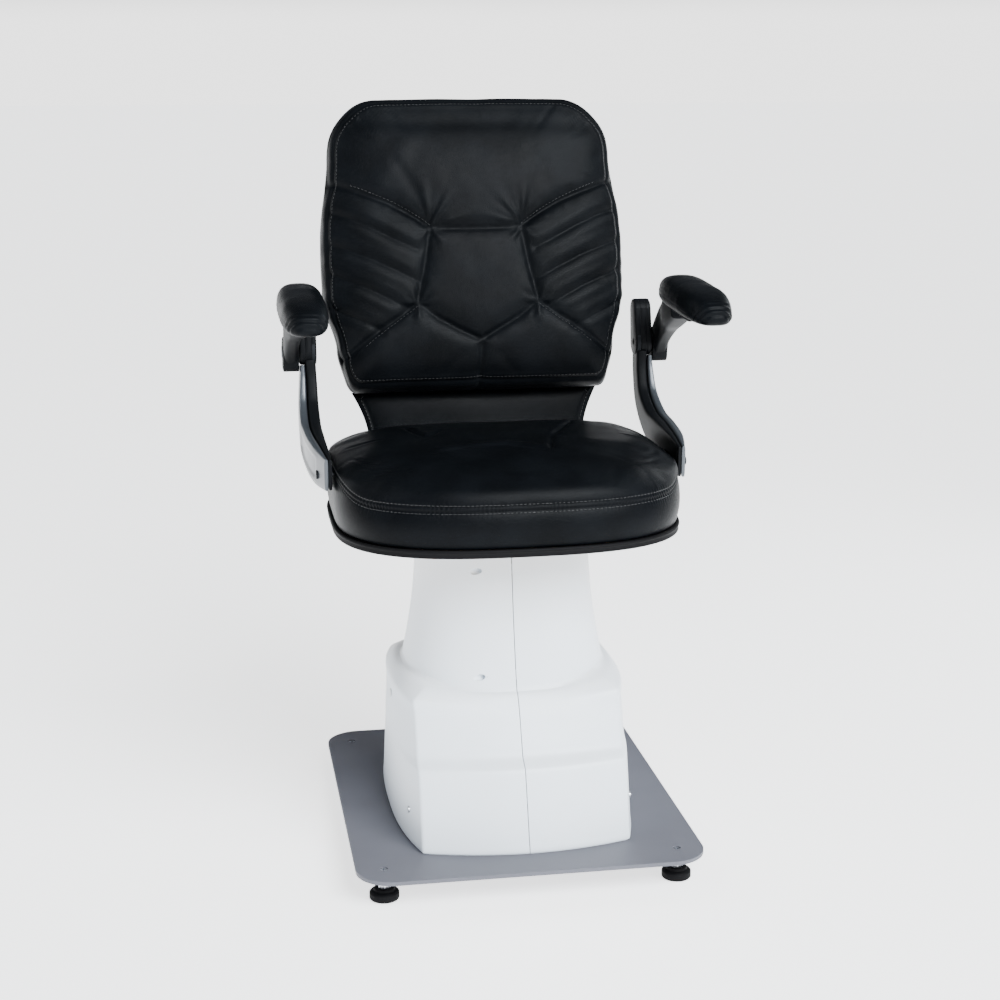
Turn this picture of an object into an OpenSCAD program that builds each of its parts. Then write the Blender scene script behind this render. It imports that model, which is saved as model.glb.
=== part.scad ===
// Ophthalmic examination chair: levelled base plate, two-part cover, electric lift column,
// swivelling seat with a fixed padded back and two flip-up armrests.
// Millimetres. The origin is on the floor under the swivel axis, -Y is the front, +Z is up.

/* [View] */

/* [Base plate] */
// Width of the plate, side to side
base_w = 520; // [420:5:640]
// Depth of the plate, front to back
base_d = 640; // [520:5:760]
// Thickness of the plate
base_t = 6; // [4:0.5:12]
// Radius of the plate corners
base_corner_r = 55; // [20:1:90]
// Height of the underside of the plate above the floor
base_under_z = 40; // [34:1:60]

/* [Levelling feet] */
// Distance between the foot studs, side to side
foot_pitch_x = 438; // [340:2:560]
// Distance between the foot studs, front to back
foot_pitch_y = 540; // [420:2:680]
// Diameter of the foot pad
pad_d = 44; // [30:1:60]
// Height of the foot pad
pad_h = 18; // [12:1:24]
// Diameter of the stud
stud_d = 12; // [8:1:16]
// Width across corners of the hexagons on stud and nut
hex_d = 22; // [16:1:28]
// Height of the lock nut
lock_nut_h = 9; // [6:0.5:12]

/* [Cover] */
// Wall of the moulded cover
cover_wall = 4; // [2.5:0.5:6]
// Half width of the cover at its foot
cover_half_w = 185; // [150:1:220]
// Half width of the flat front at its corners
cover_corner_x = 157; // [120:1:180]
// Reach of the cover foot to the front
cover_front = 256; // [220:1:290]
// Reach of the cover foot to the rear
cover_rear = 250; // [220:1:290]
// Height of the ledge across the front
cover_ledge_z = 164; // [120:1:200]
// Depth of the ledge across the front
cover_ledge = 17; // [8:1:30]
// Height of the shoulder at the front
shoulder_z = 255; // [220:1:300]
// Rise of the shoulder from the front to the sides
shoulder_rise = 14; // [8:1:60]
// Half width of the neck at its foot
neck_half_w = 156; // [120:1:170]
// Reach of the neck foot to the front
neck_front = 142; // [110:1:170]
// Half width of the neck at its top
neck_top_half_w = 133; // [110:1:150]
// Reach of the neck top to the front
neck_top_front = 98; // [95:1:130]
// Height of the cover top
cover_top_z = 474; // [420:1:520]
// Gap between the two halves of the cover
seam_gap = 0.8; // [0.4:0.1:2]
// Diameter of the screw heads of the cover
cover_screw_head = 10; // [6:0.5:14]
// Diameter of the side plugs
plug_d = 13; // [8:0.5:20]

/* [Lift column] */
// Outer diameter of the fixed guide tube
guide_d = 150; // [120:1:170]
// Wall of the fixed guide tube
guide_wall = 6; // [4:0.5:8]
// Height of the top of the guide tube
guide_top_z = 436; // [380:1:470]
// Diameter of the guide flange
guide_flange_d = 212; // [180:1:240]
// Thickness of the guide flange
guide_flange_t = 8; // [6:1:12]
// Outer diameter of the lifting tube
lift_d = 128; // [100:1:140]
// Wall of the lifting tube
lift_wall = 6; // [4:0.5:8]
// Height of the lower end of the lifting tube
lift_bottom_z = 134; // [128:1:200]
// Height of the lower side of the lift flange
lift_flange_z = 477; // [430:1:530]
// Thickness of the lift flange
lift_flange_t = 9; // [6:1:14]
// Diameter of the lift flange and of the white sleeve
sleeve_d = 168; // [160:1:180]
// Wall of the white sleeve
sleeve_wall = 3; // [2:0.5:5]
// Length of the white sleeve
sleeve_len = 226; // [160:1:240]
// Length of the guide bushes
glide_len = 40; // [20:1:60]

/* [Actuator] */
// Diameter of the actuator housing
housing_d = 60; // [50:1:80]
// Height of the top of the actuator housing
housing_top_z = 404; // [300:1:420]
// Diameter of the actuator rod
rod_d = 28; // [20:1:36]
// Diameter of the motor
motor_d = 54; // [40:1:60]
// Reach of the motor to the rear
motor_reach = 150; // [110:1:170]
// Height of the motor axis
motor_z = 98; // [90:1:110]
// Diameter of the clevis pin
clevis_pin_d = 12; // [8:1:16]

/* [Seat] */
// Half width of the seat cushion
seat_half_w = 263; // [200:1:300]
// Depth of the seat cushion, front to back
seat_d = 450; // [360:2:520]
// Position of the middle of the seat, front to back
seat_mid_y = -18; // [-60:1:40]
// Height of the crown of the seat above its board
seat_crown = 117; // [70:1:140]
// Height of the seam that closes the seat side
seat_side_h = 60; // [25:1:80]
// Depth of the sewn channels of the seat
seat_sew = 5; // [1:0.5:12]
// Thickness of the seat board
board_t = 12; // [9:1:18]
// Thickness of the steel mounting plate
mount_t = 6; // [4:0.5:10]
// Width of the steel mounting plate
mount_w = 236; // [200:2:280]
// Diameter of the swivel spindle
spindle_d = 40; // [30:1:50]

/* [Back] */
// Lean of the back from upright, in degrees
back_lean = 13; // [5:0.5:20]
// Length of the back cushion along its lean
back_len = 474; // [380:2:560]
// Height of the lower edge of the back board
back_z = 658; // [630:1:720]
// Distance of the back board from the swivel axis at its lower edge
back_y = 262; // [240:1:290]
// Half width of the back cushion at its foot
back_foot_half_w = 216; // [170:1:240]
// Greatest half width of the back cushion
back_half_w = 250; // [210:1:280]
// Half width of the back cushion near its top
back_top_half_w = 222; // [180:1:240]
// Radius of the top corners of the back cushion
back_corner_r = 72; // [40:1:110]
// Thickness of the back cushion at its crown
back_cushion_t = 92; // [60:1:120]
// Thickness of the back cushion at its border
back_border_t = 44; // [20:1:60]
// Depth of the sewn channels of the back
back_sew = 6; // [1:0.5:12]
// Half width of the lumbar panel at its foot
lumbar_half_w = 184; // [140:1:200]
// Thickness of the lumbar panel
lumbar_t = 20; // [12:1:30]
// Width of the steel back bars
bar_w = 40; // [25:1:60]
// Thickness of the steel back bars
bar_t = 6; // [4:0.5:10]

/* [Armrests] */
// Clearance between the seat cushion and the arms
arm_gap = 2; // [1:0.5:10]
// Distance of the arm pivot from the swivel axis, to the rear
pivot_y = 238; // [180:1:260]
// Height of the arm pivot
pivot_z = 733; // [690:1:780]
// Diameter of the pivot pin
pivot_d = 12; // [8:1:16]
// Length of the arm pad
arm_pad_len = 268; // [200:2:320]
// Width of the arm pad
arm_pad_w = 72; // [50:1:90]
// Thickness of the arm pad
arm_pad_t = 48; // [25:1:60]
// Distance of the middle of the arm pad outside the side of the seat
arm_pad_out = 37; // [25:1:60]
// Height of the rear underside of the arm pad
arm_pad_z = 821; // [780:1:860]
// Position of the rear end of the arm pad
arm_pad_rear_y = 120; // [90:1:160]
// Depth of the sewn folds of the arm pad
arm_sew = 3; // [1:0.5:8]

/* [Clearances] */
// Radial clearance of sliding and turning fits
run_gap = 0.05; // [0.02:0.01:0.1]
// Clearance between pieces that pass without touching
pass_gap = 0.3; // [0.2:0.1:1]
// Radial clearance of the holes that screws pass through
screw_gap = 0.5; // [0.2:0.1:1]
// Overrun of every cut
over = 2; // [1:0.5:5]

/* [Hidden] */
round_fn = 64;
hex_fn = 6;
turn = 360;
quarter = 90;

base_top_z = base_under_z + base_t;
stud_r = stud_d / 2;
stud_bore_r = stud_r + run_gap;
hex_r = hex_d / 2;
nut_z = base_under_z - lock_nut_h;

guide_r = guide_d / 2;
guide_in_r = guide_r - guide_wall;
lift_r = lift_d / 2;
lift_in_r = lift_r - lift_wall;
sleeve_r = sleeve_d / 2;
lift_flange_top = lift_flange_z + lift_flange_t;
bolt_r = guide_wall * 0.9;

ring_t = guide_flange_t * 0.6;
plate_z = lift_flange_top + ring_t + pass_gap;
board_z = plate_z + mount_t;
cushion_z = board_z + board_t;

// Shared shapes

function lerp(a, b, t) = a + (b - a) * t;
function clamp(t) = max(0, min(1, t));
function smooth(t) = clamp(t) * clamp(t) * (3 - 2 * clamp(t));
function spow(v, e) = sign(v) * pow(abs(v), e);
// Value of a table of [place, value] rows, eased between rows
function along(tab, t, i = 0) =
    i >= len(tab) - 1 ? tab[len(tab) - 1][1] :
    t <= tab[i + 1][0] ? lerp(tab[i][1], tab[i + 1][1],
        smooth((t - tab[i][0]) / (tab[i + 1][0] - tab[i][0]))) :
    along(tab, t, i + 1);
// Curve through control rows, for t from 0 to 1
function curve_at(c, t) =
    let(n = len(c) - 1, k = min(floor(t * n), n - 1), f = t * n - k,
        a = c[max(k - 1, 0)], b = c[k], d = c[k + 1], e = c[min(k + 2, n)])
    0.5 * (2 * b + (d - a) * f + (2 * a - 5 * b + 4 * d - e) * f * f
        + (3 * b - a - 3 * d + e) * f * f * f);
// Distance from a point to a line piece, in a plane
function seg_dist(p, a, b) =
    let(ab = b - a, t = clamp(((p - a) * ab) / (ab * ab)))
    norm(p - a - ab * t);
// Depth of a sewn line as seen from a distance away from it
function sewn(d, w, depth) = -depth * exp(-(d / w) * (d / w));

module rounded_plate(w, d, r, t) {
    linear_extrude(height = t) {
        square([w - 2 * r, d], center = true);
        square([w, d - 2 * r], center = true);
        for (sx = [-1, 1], sy = [-1, 1]) {
            translate([sx * (w / 2 - r), sy * (d / 2 - r)])
                circle(r = r, $fn = round_fn);
        }
    }
}

module at_feet() {
    for (sx = [-1, 1], sy = [-1, 1]) {
        translate([sx * foot_pitch_x / 2, sy * foot_pitch_y / 2, 0])
            children();
    }
}

module at_ring(n, r) {
    for (k = [0:n - 1]) {
        rotate([0, 0, (k + 0.5) * turn / n])
            translate([r, 0, 0])
                children();
    }
}

// A rod along X, from x0 to x1, through the point y, z
module rod_x(x0, x1, y, z, r) {
    translate([x0, y, z])
        rotate([0, quarter, 0])
            cylinder(r = r, h = x1 - x0, $fn = round_fn);
}

// Closed skin through rings of points, with fan caps on the first and last ring
module loft(rings) {
    n = len(rings[0]);
    m = len(rings);
    first = [for (k = [0:2]) [for (p = rings[0]) p[k]] * [for (p = rings[0]) 1 / n]];
    last = [for (k = [0:2]) [for (p = rings[m - 1]) p[k]] * [for (p = rings[m - 1]) 1 / n]];
    pts = concat([for (r = rings) for (p = r) p], [first, last]);
    polyhedron(points = pts, faces = concat(
        [for (i = [0:m - 2], j = [0:n - 1])
            [i * n + j, (i + 1) * n + j, (i + 1) * n + (j + 1) % n]],
        [for (i = [0:m - 2], j = [0:n - 1])
            [i * n + j, (i + 1) * n + (j + 1) % n, i * n + (j + 1) % n]],
        [for (j = [0:n - 1]) [m * n, j, (j + 1) % n]],
        [for (j = [0:n - 1]) [m * n + 1, (m - 1) * n + (j + 1) % n, (m - 1) * n + j]]));
}

// Base plate and feet

module base_plate() {
    color([0.62, 0.64, 0.68])
    difference() {
        translate([0, 0, base_under_z])
            rounded_plate(base_w, base_d, base_corner_r, base_t);
        at_feet()
            translate([0, 0, base_under_z - over])
                cylinder(r = stud_bore_r, h = base_t + 2 * over, $fn = round_fn);
        translate([0, 0, base_under_z - over])
            at_ring(8, guide_bolt_ring)
                cylinder(r = bolt_r + screw_gap, h = base_t + 2 * over, $fn = round_fn);
    }
}
guide_bolt_ring = (guide_r + guide_flange_d / 2) / 2;

module foot_nuts() {
    color([0.75, 0.76, 0.78])
    at_feet()
        translate([0, 0, nut_z])
            difference() {
                cylinder(r = hex_r, h = lock_nut_h, $fn = hex_fn);
                translate([0, 0, -over])
                    cylinder(r = stud_bore_r, h = lock_nut_h + 2 * over, $fn = round_fn);
            }
}

stud_socket = pad_h * 0.4;
stud_slot_w = stud_d * 0.16;
stud_top_drop = base_t * 0.1;

module foot_stud() {
    color([0.75, 0.76, 0.78])
    difference() {
        union() {
            translate([0, 0, pad_h])
                cylinder(r = hex_r, h = nut_z - pass_gap - pad_h, $fn = hex_fn);
            translate([0, 0, pad_h - stud_socket])
                cylinder(r = stud_r, h = base_top_z - stud_top_drop - pad_h + stud_socket,
                    $fn = round_fn);
        }
        translate([-stud_d, -stud_slot_w / 2, base_top_z - stud_top_drop - stud_slot_w])
            cube([2 * stud_d, stud_slot_w, over + stud_slot_w]);
    }
}

module foot_pad() {
    color([0.08, 0.08, 0.09])
    difference() {
        rotate_extrude($fn = round_fn)
            polygon([[0, 0], [pad_d * 0.46, 0], [pad_d / 2, pad_h * 0.12], [pad_d / 2, pad_h * 0.6],
                [pad_d * 0.46, pad_h * 0.72], [pad_d * 0.36, pad_h * 0.8], [pad_d * 0.34, pad_h],
                [0, pad_h]]);
        translate([0, 0, pad_h - stud_socket])
            cylinder(r = stud_bore_r, h = stud_socket + over, $fn = round_fn);
    }
}

module foot_at(sx, sy) {
    translate([sx * foot_pitch_x / 2, sy * foot_pitch_y / 2, 0])
        children();
}

// Moulded cover

// Share of a half turn for each column of the cover, with columns close at the corners
cover_cols_share = [0, 0.05, 0.1, 0.15, 0.19, 0.22, 0.238, 0.25, 0.262, 0.285, 0.32, 0.37, 0.43, 0.5,
    0.57, 0.63, 0.68, 0.715, 0.738, 0.75, 0.762, 0.78, 0.81, 0.85, 0.9, 0.95, 1];
cover_bow_share = 0.1;
corner_ease = cover_wall;

// Point of the box part for column s: front reach f, rear reach b, side half width w, corner x c
function box_xy(s, f, b, w, c) =
    let(bow = f * cover_bow_share, ease = abs(s - 0.25) < 0.005 || abs(s - 0.75) < 0.005 ? 1 : 0)
    s <= 0.25 ? let(x = c * s / 0.25 - ease * corner_ease * 0.5)
        [max(x, seam_gap / 2), -f + bow * (x / c) * (x / c) + ease * corner_ease * 0.3] :
    s >= 0.75 ? let(x = c * (1 - s) / 0.25 - ease * corner_ease * 0.5)
        [max(x, seam_gap / 2), b - bow * (x / c) * (x / c) - ease * corner_ease * 0.3] :
    let(t = (s - 0.25) / 0.5)
        [c + (w - c) * (1 - pow(abs(2 * t - 1), 2.6)), lerp(-f + bow, b - bow, t)];
// Point of the neck for column s: half width w, front reach f, squareness n
function neck_xy(s, w, f, n) =
    [max(w * spow(sin(180 * s), 2 / n), seam_gap / 2), -f * spow(cos(180 * s), 2 / n)];
// Rise of the shoulder, from 0 at the front corner to 1 at the side
function side_share(s) = smooth((s - 0.06) / 0.3) * smooth((0.94 - s) / 0.3);

function box_front(z) = z <= cover_ledge_z
    ? lerp(cover_front, cover_front * 0.845, (z - base_top_z) / (cover_ledge_z - base_top_z))
    : lerp(cover_front * 0.845 - cover_ledge, cover_front * 0.618,
        (z - cover_ledge_z) / (shoulder_z - cover_ledge_z));
function box_rear(z) = lerp(cover_rear, cover_front * 0.63,
    (z - base_top_z) / (shoulder_z - base_top_z));
function box_half(z) = lerp(cover_half_w, cover_half_w * 0.965,
    (z - base_top_z) / (shoulder_z - base_top_z));
function neck_half(t) = lerp(neck_half_w, neck_top_half_w, t) - neck_half_w * 0.03 * sin(180 * t);
function neck_reach(t) = lerp(neck_front, neck_top_front, t) - neck_front * 0.035 * sin(180 * t);

// Outer surface of the box part: half width at depth y, and reach to the rear at x
function side_at(y, z) =
    let(f = box_front(z), b = box_rear(z), bow = f * cover_bow_share,
        t = (y + f - bow) / (b + f - 2 * bow))
    cover_corner_x + (box_half(z) - cover_corner_x) * (1 - pow(abs(2 * t - 1), 2.6));
function rear_at(x, z) =
    box_rear(z) - box_front(z) * cover_bow_share * (x / cover_corner_x) * (x / cover_corner_x);

// One ring of the cover skin, set in by i from the outside
function box_ring(z, i, f = 0) =
    [for (s = cover_cols_share) let(p = box_xy(s, box_front(z) + f - i, box_rear(z) - i,
        box_half(z) - i, cover_corner_x - i)) [p[0], p[1], z]];
function edge_ring(t, i) =
    [for (s = cover_cols_share)
        let(r = side_share(s) * shoulder_rise,
            a = box_xy(s, box_front(shoulder_z) - i, box_rear(shoulder_z) - i,
                box_half(shoulder_z) - i, cover_corner_x - i),
            b = neck_xy(s, neck_half_w - i, neck_front - i, 2.5),
            p = lerp(a, b, t))
        [p[0], p[1], shoulder_z + r + cover_wall * 1.6 * sin(quarter * t) - i]];
function neck_ring(t, i) =
    [for (s = cover_cols_share)
        let(r = (1 - t) * side_share(s) * shoulder_rise,
            p = neck_xy(s, neck_half(t) - i, neck_reach(t) - i, lerp(2.5, 2.9, t)))
        [p[0], p[1],
            lerp(shoulder_z + cover_wall * 3, cover_top_z - cover_wall * 1.5, t) + r - i * (1 - t)]];
function top_ring(r, i) =
    [for (s = cover_cols_share)
        [max(r * sin(180 * s), seam_gap / 2), -r * cos(180 * s), cover_top_z - i]];
function blend_ring(t, i) =
    [for (k = [0:len(cover_cols_share) - 1])
        let(a = neck_ring(1, i)[k], b = top_ring(sleeve_r + pass_gap * 3, i)[k])
        [lerp(a[0], b[0], t), lerp(a[1], b[1], t), cover_top_z - i]];

function cover_rings(i) = [
    box_ring(base_top_z, i),
    box_ring(base_top_z + cover_wall * 5, i),
    box_ring(cover_ledge_z - cover_wall * 2, i),
    box_ring(cover_ledge_z, i, -cover_wall * 0.5),
    box_ring(cover_ledge_z + cover_wall * 1.6, i, cover_wall),
    box_ring(cover_ledge_z + cover_wall * 3, i, 0),
    box_ring(shoulder_z - cover_wall * 3, i),
    edge_ring(0, i), edge_ring(0.35, i), edge_ring(0.8, i),
    neck_ring(0, i), neck_ring(0.2, i), neck_ring(0.45, i), neck_ring(0.7, i), neck_ring(1, i),
    blend_ring(0.12, i), top_ring(sleeve_r + pass_gap * 3, i)
];

module half_skin() {
    o = cover_rings(0);
    i = cover_rings(cover_wall);
    m = len(o);
    n = len(cover_cols_share);
    all_rings = concat(o, [for (k = [m - 1:-1:0]) i[k]]);
    q = 2 * m;
    polyhedron(points = [for (r = all_rings) for (p = r) p], faces = concat(
        [for (a = [0:q - 1], j = [0:n - 2])
            [a * n + j, ((a + 1) % q) * n + j, ((a + 1) % q) * n + j + 1]],
        [for (a = [0:q - 1], j = [0:n - 2])
            [a * n + j, ((a + 1) % q) * n + j + 1, a * n + j + 1]],
        [for (a = [0:m - 2]) [(a + 1) * n, a * n, (q - 1 - a) * n]],
        [for (a = [0:m - 2]) [(a + 1) * n, (q - 1 - a) * n, (q - 2 - a) * n]],
        [for (a = [0:m - 2]) [a * n + n - 1, (a + 1) * n + n - 1, (q - 1 - a) * n + n - 1]],
        [for (a = [0:m - 2]) [(a + 1) * n + n - 1, (q - 2 - a) * n + n - 1, (q - 1 - a) * n + n - 1]]));
}

side_screw_y = cover_front * 0.66;
side_screw_z = base_top_z + cover_wall * 12;
// Depth of the flat seats sunk into the cover for the side screws and plugs
side_seat = cover_wall * 0.4;
seam_screw_r = cover_screw_head * 0.25;
seam_boss_r = cover_screw_head * 0.7;
seam_boss_len = neck_half_w * 0.33;
// Height and depth of the axes of the four screws that join the halves
seam_z_low = shoulder_z + cover_wall * 7;
seam_z_high = cover_top_z - cover_wall * 8.5;
function neck_share(z) =
    (z - shoulder_z - cover_wall * 3) / (cover_top_z - cover_wall * 4.5 - shoulder_z);
function seam_y(z) = neck_reach(neck_share(z)) - seam_boss_r * 1.1;
seam_spots = [
    [-seam_y(seam_z_low), seam_z_low],
    [-seam_y(seam_z_high), seam_z_high],
    [seam_y(seam_z_low), seam_z_low],
    [seam_y(seam_z_high), seam_z_high]
];
plug_y = -cover_front * 0.1;
plug_z = shoulder_z - cover_wall * 6;
plug_x = side_at(plug_y, plug_z) - side_seat;
plug_pin_r = plug_d * 0.35;
bracket_x = side_at(side_screw_y, side_screw_z) - cover_wall * 3.6;

module cover_left() {
    color([0.9, 0.91, 0.93])
    difference() {
        union() {
            mirror([1, 0, 0])
                half_skin();
            for (p = seam_spots)
                rod_x(-seam_boss_len, -seam_gap / 2, p[0], p[1], seam_boss_r);
        }
        for (p = seam_spots) {
            rod_x(-seam_boss_len - over, over, p[0], p[1], seam_screw_r + screw_gap);
            rod_x(-seam_boss_len * 0.8 - cover_wall * 5, -seam_boss_len * 0.8, p[0], p[1],
                cover_screw_head / 2 + screw_gap);
        }
        side_holes(-1);
    }
}

module cover_right() {
    color([0.9, 0.91, 0.93])
    difference() {
        union() {
            half_skin();
            for (p = seam_spots)
                rod_x(seam_gap / 2, seam_boss_len * 0.6, p[0], p[1], seam_boss_r);
        }
        for (p = seam_spots)
            rod_x(-over, seam_boss_len * 0.5, p[0], p[1], seam_screw_r + run_gap);
        side_holes(1);
        at_inlet() {
            translate([-inlet_w / 2 - pass_gap, -inlet_t * 2, -inlet_h / 2 - pass_gap])
                cube([inlet_w + 2 * pass_gap, inlet_t * 3, inlet_h + 2 * pass_gap]);
            translate([-inlet_w * 0.7 - pass_gap, -side_seat, -inlet_h * 0.6 - pass_gap])
                cube([inlet_w * 1.4 + 2 * pass_gap, inlet_t, inlet_h * 1.2 + 2 * pass_gap]);
        }
    }
}

module side_holes(sx) {
    mirror([sx < 0 ? 1 : 0, 0, 0]) {
        for (sy = [-1, 1]) {
            rod_x(bracket_x, cover_half_w + over, sy * side_screw_y, side_screw_z,
                seam_screw_r + screw_gap);
            rod_x(side_at(sy * side_screw_y, side_screw_z) - side_seat, cover_half_w + over,
                sy * side_screw_y, side_screw_z, cover_screw_head / 2 + screw_gap);
        }
        rod_x(bracket_x, cover_half_w + over, plug_y, plug_z, plug_pin_r + pass_gap);
        rod_x(plug_x, cover_half_w + over, plug_y, plug_z, plug_d / 2 + pass_gap);
    }
}

module cover_seam_screws() {
    color([0.72, 0.73, 0.75])
    for (p = seam_spots) {
        rod_x(-seam_boss_len * 0.8, seam_boss_len * 0.4, p[0], p[1], seam_screw_r);
        rod_x(-seam_boss_len * 0.8 - cover_screw_head * 0.3, -seam_boss_len * 0.8, p[0], p[1],
            cover_screw_head / 2);
    }
}

module cover_side_screws() {
    color([0.72, 0.73, 0.75])
    for (mx = [0, 1], sy = [-1, 1]) {
        mirror([mx, 0, 0]) {
            rod_x(bracket_x - cover_wall, side_at(sy * side_screw_y, side_screw_z) - side_seat,
                sy * side_screw_y, side_screw_z, seam_screw_r);
            rod_x(side_at(sy * side_screw_y, side_screw_z) - side_seat,
                side_at(sy * side_screw_y, side_screw_z) + side_seat, sy * side_screw_y, side_screw_z,
                cover_screw_head / 2);
        }
    }
}

module cover_plugs() {
    color([0.93, 0.94, 0.95])
    for (mx = [0, 1]) {
        mirror([mx, 0, 0]) {
            rod_x(plug_x - cover_wall * 1.5, plug_x, plug_y, plug_z, plug_pin_r);
            rod_x(plug_x, plug_x + 2 * side_seat, plug_y, plug_z, plug_d / 2);
        }
    }
}

module cover_brackets() {
    color([0.55, 0.56, 0.58])
    for (mx = [0, 1], sy = [-1, 1]) {
        mirror([mx, 0, 0])
            translate([0, sy * side_screw_y, 0])
                difference() {
                    union() {
                        translate([bracket_x - cover_wall * 8, -cover_wall * 4, base_top_z])
                            cube([cover_wall * 9, cover_wall * 8, cover_wall * 0.75]);
                        translate([bracket_x, -cover_wall * 4, base_top_z])
                            cube([cover_wall, cover_wall * 8, side_screw_z - base_top_z + cover_wall * 3]);
                    }
                    rod_x(bracket_x - over, bracket_x + cover_wall + over, 0, side_screw_z,
                        seam_screw_r + run_gap);
                }
    }
}

// Guide column and actuator

module guide_tube() {
    color([0.3, 0.31, 0.33])
    difference() {
        translate([0, 0, base_top_z])
            rotate_extrude($fn = round_fn)
                polygon([[guide_in_r, 0], [guide_flange_d / 2, 0], [guide_flange_d / 2, guide_flange_t],
                    [guide_r, guide_flange_t], [guide_r, guide_top_z - base_top_z],
                    [guide_in_r, guide_top_z - base_top_z]]);
        translate([0, 0, base_top_z - over])
            at_ring(8, guide_bolt_ring)
                cylinder(r = bolt_r + screw_gap, h = guide_flange_t + 2 * over, $fn = round_fn);
        translate([-motor_d / 2 - pass_gap * 8, 0, motor_z - motor_d / 2 - pass_gap * 8])
            cube([motor_d + pass_gap * 16, guide_d, motor_d + pass_gap * 16]);
    }
}

bolt_head_h = bolt_r * 1.3;

module guide_bolts() {
    color([0.72, 0.73, 0.75])
    at_ring(8, guide_bolt_ring) {
        translate([0, 0, base_top_z + guide_flange_t])
            cylinder(r = bolt_r * 1.8, h = bolt_head_h, $fn = hex_fn);
        translate([0, 0, base_under_z - bolt_head_h * 1.3])
            cylinder(r = bolt_r, h = base_t + guide_flange_t + bolt_head_h * 1.3, $fn = round_fn);
    }
}

module guide_nuts() {
    color([0.72, 0.73, 0.75])
    at_ring(8, guide_bolt_ring) {
        translate([0, 0, base_under_z - bolt_head_h])
            difference() {
                cylinder(r = bolt_r * 1.8, h = bolt_head_h, $fn = hex_fn);
                translate([0, 0, -over])
                    cylinder(r = bolt_r + run_gap, h = bolt_head_h + 2 * over, $fn = round_fn);
            }
    }
}

module glide_upper() {
    color([0.9, 0.9, 0.86])
    rotate_extrude($fn = round_fn)
        polygon([[lift_r + run_gap, guide_top_z - glide_len], [guide_in_r, guide_top_z - glide_len],
            [guide_in_r, guide_top_z], [guide_r, guide_top_z], [guide_r, guide_top_z + glide_len * 0.1],
            [lift_r + run_gap, guide_top_z + glide_len * 0.1]]);
}

module glide_lower() {
    color([0.9, 0.9, 0.86])
    rotate_extrude($fn = round_fn)
        polygon([[lift_r, lift_bottom_z], [guide_in_r - run_gap, lift_bottom_z],
            [guide_in_r - run_gap, lift_bottom_z + glide_len], [lift_r, lift_bottom_z + glide_len]]);
}

gear_w = housing_d * 1.24;
gear_z = motor_z - motor_d * 0.36;
gear_h = motor_d * 0.78;
clevis_z = base_top_z + clevis_pin_d * 1.7;
clevis_gap = clevis_pin_d * 2.4;
ear_t = clevis_pin_d * 0.7;
ear_w = clevis_pin_d * 2.2;

module actuator_clevis() {
    color([0.45, 0.46, 0.48])
    difference() {
        union() {
            translate([-clevis_gap / 2 - ear_t, -ear_w, base_top_z])
                cube([clevis_gap + 2 * ear_t, 2 * ear_w, base_t * 0.8]);
            for (mx = [0, 1]) {
                mirror([mx, 0, 0]) {
                    translate([clevis_gap / 2, -ear_w / 2, base_top_z])
                        cube([ear_t, ear_w, clevis_z - base_top_z]);
                    rod_x(clevis_gap / 2, clevis_gap / 2 + ear_t, 0, clevis_z, clevis_pin_d * 0.7);
                }
            }
        }
        rod_x(-guide_r, guide_r, 0, clevis_z, clevis_pin_d / 2 + run_gap);
    }
}

module clevis_pin() {
    color([0.75, 0.76, 0.78])
    union() {
        rod_x(-clevis_gap / 2 - ear_t - over, clevis_gap / 2 + ear_t + over, 0, clevis_z,
            clevis_pin_d / 2);
        rod_x(-clevis_gap / 2 - ear_t - over, -clevis_gap / 2 - ear_t - pass_gap, 0, clevis_z,
            clevis_pin_d * 0.75);
    }
}

module actuator_housing() {
    color([0.2, 0.21, 0.23])
    difference() {
        union() {
            translate([-gear_w / 2, -gear_w / 2, gear_z])
                cube([gear_w, gear_w, gear_h]);
            translate([0, 0, gear_z])
                cylinder(r = housing_d / 2, h = housing_top_z - gear_z, $fn = round_fn);
            translate([0, 0, motor_z])
                rotate([-quarter, 0, 0])
                    cylinder(r = motor_d / 2, h = motor_reach, $fn = round_fn);
            translate([-clevis_gap / 2 + pass_gap, -ear_w * 0.42, clevis_z])
                cube([clevis_gap - 2 * pass_gap, ear_w * 0.84, gear_z - clevis_z + over]);
            rod_x(-clevis_gap / 2 + pass_gap, clevis_gap / 2 - pass_gap, 0, clevis_z, ear_w * 0.42);
        }
        rod_x(-guide_r, guide_r, 0, clevis_z, clevis_pin_d / 2 + run_gap);
        translate([0, 0, gear_z + gear_h])
            cylinder(r = housing_d / 2 - guide_wall * 0.8,
                h = housing_top_z - gear_z - gear_h - housing_d * 0.3, $fn = round_fn);
        translate([0, 0, gear_z + gear_h])
            cylinder(r = rod_d / 2 + run_gap, h = housing_top_z - gear_z - gear_h + over, $fn = round_fn);
    }
}

box_w = cover_wall * 13;
box_d = cover_wall * 32;
box_h = cover_wall * 26;
box_x = guide_flange_d / 2 + cover_wall;

module control_box() {
    color([0.16, 0.17, 0.18])
    union() {
        translate([box_x, -box_d / 2, base_top_z])
            cube([box_w, box_d, box_h]);
        translate([box_x + cover_wall, -box_d / 2 - cover_wall * 3, base_top_z])
            cube([box_w - 2 * cover_wall, box_d + cover_wall * 6, cover_wall * 0.6]);
    }
}

inlet_x = cover_corner_x * 0.36;
inlet_z = base_top_z + cover_wall * 10;
inlet_w = 28;
inlet_h = 24;
inlet_t = cover_wall * 6;
inlet_lean = atan((rear_at(inlet_x, inlet_z - inlet_h / 2)
    - rear_at(inlet_x, inlet_z + inlet_h / 2)) / inlet_h);
inlet_yaw = atan((rear_at(inlet_x - inlet_w / 2, inlet_z)
    - rear_at(inlet_x + inlet_w / 2, inlet_z)) / inlet_w);

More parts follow.
